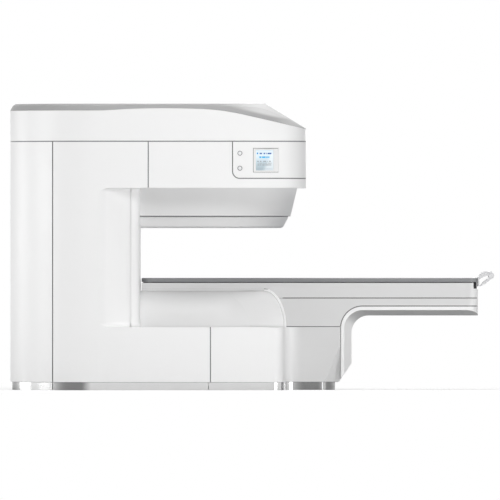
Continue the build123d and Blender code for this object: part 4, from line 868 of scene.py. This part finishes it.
# Display and buttons
class SCANNER_OT_control_panel(bpy.types.Operator):
    """Finishes the display and the two buttons"""

    bl_idname = "scanner.control_panel"
    bl_label = "Control panel"

    def execute(self, context):
        tones, _, _ = props()
        bezel = moulded_finish("Bezel", tones.bezel, gloss=0.38, scale=900.0, dust=0.0)
        dress(("display_bezel",), shade_joints(bezel, (BEZEL_JOINT,)))
        dress(("display_screen",), screen_finish())
        dress(("display_box", "button_switches"), moulded_finish("Dark Housing", tones.rubber, gloss=0.5))
        dress(("button_rings",), metal_finish("Button Ring", tones.ring, gloss=0.32, fineness=900.0))
        caps = moulded_finish("Button Cap", tones.button, gloss=0.35, scale=1500.0, dust=0.0)
        dress(("table_out_button", "stop_button"), caps)
        return {"FINISHED"}


def between(tree, source, low, high):
    """A mask that is 1 where the source lies between low and high."""
    above = math_node(tree, "GREATER_THAN", -900, -300, source, low)
    below = math_node(tree, "LESS_THAN", -900, -450, source, high)
    return math_node(tree, "MULTIPLY", -750, -350, above, below)


def marks_mask(tree, across, up, left, right, low, high, pitch):
    """One rectangle of the display, broken into small uneven blocks where a pitch is given."""
    wide, tall = between(tree, across, left, right), between(tree, up, low, high)
    whole = math_node(tree, "MULTIPLY", -600, -350, wide, tall)
    if not pitch:
        return whole
    place = put(tree, "ShaderNodeCombineXYZ", -900, -700)
    tree.links.new(math_node(tree, "SNAP", -1000, -700, across, pitch), place.inputs["X"])
    place.inputs["Y"].default_value = low * MARKS_SEED
    blocks = put(tree, "ShaderNodeTexWhiteNoise", -750, -700, noise_dimensions="2D")
    tree.links.new(place.outputs["Vector"], blocks.inputs["Vector"])
    kept = math_node(tree, "GREATER_THAN", -600, -700, blocks.outputs["Value"], MARKS_KEPT)
    return math_node(tree, "MULTIPLY", -450, -700, kept, whole)


def screen_share(tree, axis, low, high):
    """How far a place lies across the lit part of the display, from 0 to 1."""
    span = remap(tree, coordinate(tree, axis), From_Min=low + SCREEN_RIM, From_Max=high - SCREEN_RIM)
    return span.outputs["Result"]


def screen_finish():
    """Lit display: a header row, a blue bar, rows of fine marks and a slanting painted reflection."""
    material, tree, shader = new_finish(
        "Display", Roughness=0.14, Specular_IOR_Level=0.5, Emission_Strength=0.22
    )
    low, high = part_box("display_screen")
    across = screen_share(tree, "X", low.x, high.x)
    up = screen_share(tree, "Z", low.z, high.z)
    paper = ramp_mask(tree, up, 0.0, 0.8)
    tint(tree, paper, shader, (0.36, 0.44, 0.48, 1), (0.66, 0.76, 0.82, 1))
    lean = math_node(tree, "MULTIPLY", -1200, -200, up, SCREEN_SLANT)
    slope = math_node(tree, "SUBTRACT", -1100, -200, across, lean)
    # Painted reflection: a pale slanting band across the display
    painted_reflection = math_node(tree, "MULTIPLY", -900, 0, ramp_mask(tree, slope, *REFLECTION_SPAN), SCREEN_REFLECTION)
    overlay(tree, painted_reflection, (0.84, 0.87, 0.89, 1))
    for *sides, pitch, tone in SCREEN_MARKS:
        overlay(tree, marks_mask(tree, across, up, *sides, pitch), tone)
    picture = shader.inputs["Base Color"].links[0].from_socket
    tree.links.new(picture, shader.inputs["Emission Color"])
    return material


# Patient table
class SCANNER_OT_table_covers(bpy.types.Operator):
    """Finishes the panels of the patient table"""

    bl_idname = "scanner.table_covers"
    bl_label = "Table covers"

    def execute(self, context):
        tones, _, _ = props()
        panel = moulded_finish("Table Panel", tones.table)
        tree = panel.node_tree
        # Painted highlight: the covers' white laid on the panels' free end
        overlay(tree, ramp_mask(tree, coordinate(tree, "X"), *TABLE_END_HIGHLIGHT_X), tones.cover)
        dress(TABLE_COVERS, shade_joints(panel, TABLE_JOINTS))
        dress(("table_bulkhead",), moulded_finish("Bulkhead", tones.cover, dust=0.0))
        dress(("foot_shell",), foot_finish(tones.shell, tones.table))
        return {"FINISHED"}


def foot_finish(pale, shade_grey):
    """The foot shell, pale at its sides, with painted shade in darker grey where it faces the floor."""
    material = moulded_finish("Foot Shell", pale, gloss=0.38)
    tree = material.node_tree
    # Painted shade on faces that look down
    under = ramp_mask(tree, surface_up(tree), *UNDERSIDE_SHADE_FACING)
    overlay(tree, under, darker(shade_grey, 0.8))
    return shade_joints(material, (SHELL_JOINT,))


class SCANNER_OT_tabletop(bpy.types.Operator):
    """Finishes the sliding tabletop with its handle and end lip"""

    bl_idname = "scanner.tabletop"
    bl_label = "Tabletop"

    def execute(self, context):
        tones, _, _ = props()
        laminate = moulded_finish("Tabletop Laminate", tones.tabletop, gloss=0.45, scale=700.0, dust=0.0)
        dress(("tabletop",), laminate)
        dress(("push_handle",), moulded_finish("Handle", tones.handle, gloss=0.32, scale=900.0, dust=0.0))
        dress(RUBBER_PARTS, moulded_finish("Rubber", tones.rubber, gloss=0.7, scale=600.0, relief=0.3))
        return {"FINISHED"}


class SCANNER_OT_pad(bpy.types.Operator):
    """Makes the mattress pad: a filled vinyl cover with welted edges and cross seams"""

    bl_idname = "scanner.pad"
    bl_label = "Mattress pad"

    def execute(self, context):
        tones, _, sizes = props()
        low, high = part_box("mattress_pad")
        pad = new_piece("scanner_pad", pad_mesh(low, high, sizes))
        fill_pad(pad, sizes)
        sew_pad(pad, low, high, sizes)
        pad.data.materials.append(pad_finish(tones.pad, low, high))
        welt = new_piece("pad_welt", welt_mesh(low, high, sizes))
        welt.data.materials.append(vinyl_finish("Pad Welt", darker(tones.pad, 0.6)))
        for piece in (pad, welt):
            smooth(piece)
            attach(piece, "tabletop")
        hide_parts("mattress_pad")
        return {"FINISHED"}


def pad_finish(tone, low, high):
    """Grained vinyl with a stitched line along each cross seam."""
    material = vinyl_finish("Pad Cover", tone)
    tree = material.node_tree
    along, over = coordinate(tree, "X"), coordinate(tree, "Y")
    pitch = (high.x - low.x) / PAD_PANELS
    shifted = math_node(tree, "SUBTRACT", -1100, 900, along, low.x)
    share = math_node(tree, "DIVIDE", -1000, 900, shifted, pitch)
    nearest = math_node(tree, "ROUND", -900, 1000, share)
    offset = math_node(tree, "SUBTRACT", -800, 900, share, nearest)
    size = math_node(tree, "ABSOLUTE", -750, 900, offset)
    apart = math_node(tree, "MULTIPLY", -700, 900, size, pitch)
    line = math_node(tree, "LESS_THAN", -600, 900, apart, STITCH_HALF)
    stitches = math_node(tree, "DIVIDE", -800, 1100, over, STITCH_PITCH)
    beat = math_node(tree, "FRACT", -700, 1100, stitches)
    thread = math_node(tree, "LESS_THAN", -600, 1100, beat, STITCH_SHARE)
    overlay(tree, line, darker(tone, 0.3))
    overlay(tree, math_node(tree, "MULTIPLY", -500, 1000, line, thread), darker(tone, 1.9))
    return material


def pad_mesh(low, high, sizes):
    """The pad's form before it is filled: a round-cornered slab, a little small."""
    bm = bmesh.new()
    shrink = sizes.pad_swell
    span = (high.x - low.x - shrink, high.y - low.y - shrink, high.z - low.z - 2 * PAD_LIFT)
    add_block(bm, span, (Vector(low) + Vector(high)) / 2)
    uprights = [edge for edge in bm.edges if rise(edge) > PAD_FLAT]
    round_off(bm, uprights, sizes.pad_corner, CORNER_SEGMENTS)
    rims = [edge for edge in bm.edges if rise(edge) < PAD_FLAT]
    round_off(bm, rims, sizes.pad_edge, 3)
    return bm


def rise(edge):
    """The difference in height between an edge's ends."""
    return abs(edge.verts[0].co.z - edge.verts[1].co.z)


def fill_pad(pad, sizes):
    """Swells the pad with a short cloth simulation, no farther than its filling reaches."""
    remesh = pad.modifiers.new("Remesh", "REMESH")
    remesh.mode = "VOXEL"
    remesh.voxel_size = sizes.pad_voxel
    bake_modifiers(pad)
    rest = [vertex.co.copy() for vertex in pad.data.vertices]
    cloth = pad.modifiers.new("Cloth", "CLOTH")
    cloth.settings.use_pressure = True
    cloth.settings.uniform_pressure_force = PAD_PRESSURE
    cloth.settings.effector_weights.gravity = 0
    scene = bpy.context.scene
    for step in range(1, PAD_FRAMES + 1):
        scene.frame_set(step)
    bake_modifiers(pad)
    scene.frame_set(1)
    for vertex, start in zip(pad.data.vertices, rest):
        move = vertex.co - start
        if move.length > sizes.pad_swell:
            vertex.co = start + move.normalized() * sizes.pad_swell


def sew_pad(pad, low, high, sizes):
    """Presses the cross seams into the top and keeps every point inside the pad's place."""
    pitch = (high.x - low.x) / PAD_PANELS
    middle = (low.y + high.y) / 2
    half = (high.y - low.y) / 2
    for vertex in pad.data.vertices:
        place = vertex.co
        crown = 1 - min(1, abs(place.y - middle) / half) ** 4
        share = (place.x - low.x) / pitch
        near = abs(share - round(share)) * pitch
        inner = low.x + pitch / 2 < place.x < high.x - pitch / 2
        dent = sizes.seam_depth * math.exp(-(near / sizes.seam_half) ** 2) if inner else 0
        if place.z > (low.z + high.z) / 2:
            place.z = min(place.z, high.z) - dent * crown - (1 - crown) * sizes.pad_fall
        for axis in range(3):
            place[axis] = min(max(place[axis], low[axis]), high[axis])


def welt_mesh(low, high, sizes):
    """A thin round welt sewn along the pad's upper edge."""
    bm = bmesh.new()
    made = bmesh.ops.create_grid(bm, x_segments=1, y_segments=1, size=0.5)["verts"]
    bmesh.ops.scale(bm, vec=(high.x - low.x - 2 * WELT_IN, high.y - low.y - 2 * WELT_IN, 1), verts=made)
    centre = (Vector(low) + Vector(high)) / 2
    bmesh.ops.translate(bm, vec=(centre.x, centre.y, high.z - sizes.welt_radius), verts=made)
    round_off(bm, bm.verts[:], sizes.pad_corner, CORNER_SEGMENTS, affect="VERTICES")
    bmesh.ops.delete(bm, geom=bm.faces[:], context="FACES_ONLY")
    return tube_along(bm, sizes.welt_radius)


def tube_along(bm, radius):
    """Turns a closed chain of edges into a thin tube."""
    path = new_piece("Welt Path", bm)
    path.modifiers.new("Skin", "SKIN")
    for vertex in path.data.skin_vertices[0].data:
        vertex.radius = (radius, radius)
    bake_modifiers(path)
    tube = bmesh.new()
    tube.from_mesh(path.data)
    bpy.data.objects.remove(path)
    return tube


class SCANNER_OT_slide_parts(bpy.types.Operator):
    """Finishes the rails, shoes, rollers and brackets under the tabletop"""

    bl_idname = "scanner.slide_parts"
    bl_label = "Slide parts"

    def execute(self, context):
        tones, _, _ = props()
        dress(("guide_rails",), metal_finish("Rail Aluminium", tones.rail, gloss=0.35))
        dress(ZINC_PARTS, metal_finish("Zinc Steel", tones.zinc, gloss=0.4, fineness=120.0))
        dark = moulded_finish("Dark Nylon", tones.nylon, gloss=0.5, scale=800.0, dust=0.0)
        dress(ROLLERS + ("guide_shoes",), dark)
        return {"FINISHED"}


# Inner parts
class SCANNER_OT_magnet_parts(bpy.types.Operator):
    """Finishes the yoke, magnets, coils and frames inside the covers"""

    bl_idname = "scanner.magnet_parts"
    bl_label = "Magnet parts"

    def execute(self, context):
        tones, _, _ = props()
        dress(YOKE, cast_finish("Primed Steel", tones.yoke))
        dress(MAGNETS, cast_finish("Coated Blocks", tones.magnet, gloss=0.4, relief=0.2))
        dress(COILS, cast_finish("Cast Resin", tones.coil, gloss=0.35, relief=0.2))
        dress(FRAMES, cast_finish("Powder Coat", tones.inner_frame, gloss=0.5, relief=0.25))
        return {"FINISHED"}


class SCANNER_PT_panel(bpy.types.Panel):
    """Lists the steps that dress the scanner"""

    bl_idname = "SCANNER_PT_panel"
    bl_label = "Open Magnet Scanner"
    bl_space_type = "VIEW_3D"
    bl_region_type = "UI"
    bl_category = "Scanner"

    def draw(self, context):
        layout = self.layout
        for step in STEPS:
            layout.operator(step.bl_idname)
        for group in props():
            box = layout.box()
            for name in group.__annotations__:
                box.prop(group, name)


STEPS = (
    SCANNER_OT_stage,
    SCANNER_OT_magnet_covers,
    SCANNER_OT_column_strips,
    SCANNER_OT_pole_covers,
    SCANNER_OT_plinth,
    SCANNER_OT_control_panel,
    SCANNER_OT_table_covers,
    SCANNER_OT_tabletop,
    SCANNER_OT_pad,
    SCANNER_OT_slide_parts,
    SCANNER_OT_magnet_parts,
)
GROUPS = (ScannerColours, ScannerView, ScannerSizes)


def register():
    for item in GROUPS + STEPS + (SCANNER_PT_panel,):
        bpy.utils.register_class(item)
    bpy.types.Scene.scanner_colours = bpy.props.PointerProperty(type=ScannerColours)
    bpy.types.Scene.scanner_view = bpy.props.PointerProperty(type=ScannerView)
    bpy.types.Scene.scanner_sizes = bpy.props.PointerProperty(type=ScannerSizes)


def unregister():
    del bpy.types.Scene.scanner_sizes
    del bpy.types.Scene.scanner_view
    del bpy.types.Scene.scanner_colours
    for item in reversed(GROUPS + STEPS + (SCANNER_PT_panel,)):
        bpy.utils.unregister_class(item)


def main():
    """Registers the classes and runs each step."""
    register()
    for step in STEPS:
        group, name = step.bl_idname.split(".")
        getattr(getattr(bpy.ops, group), name)()


if __name__ == "__main__":
    main()
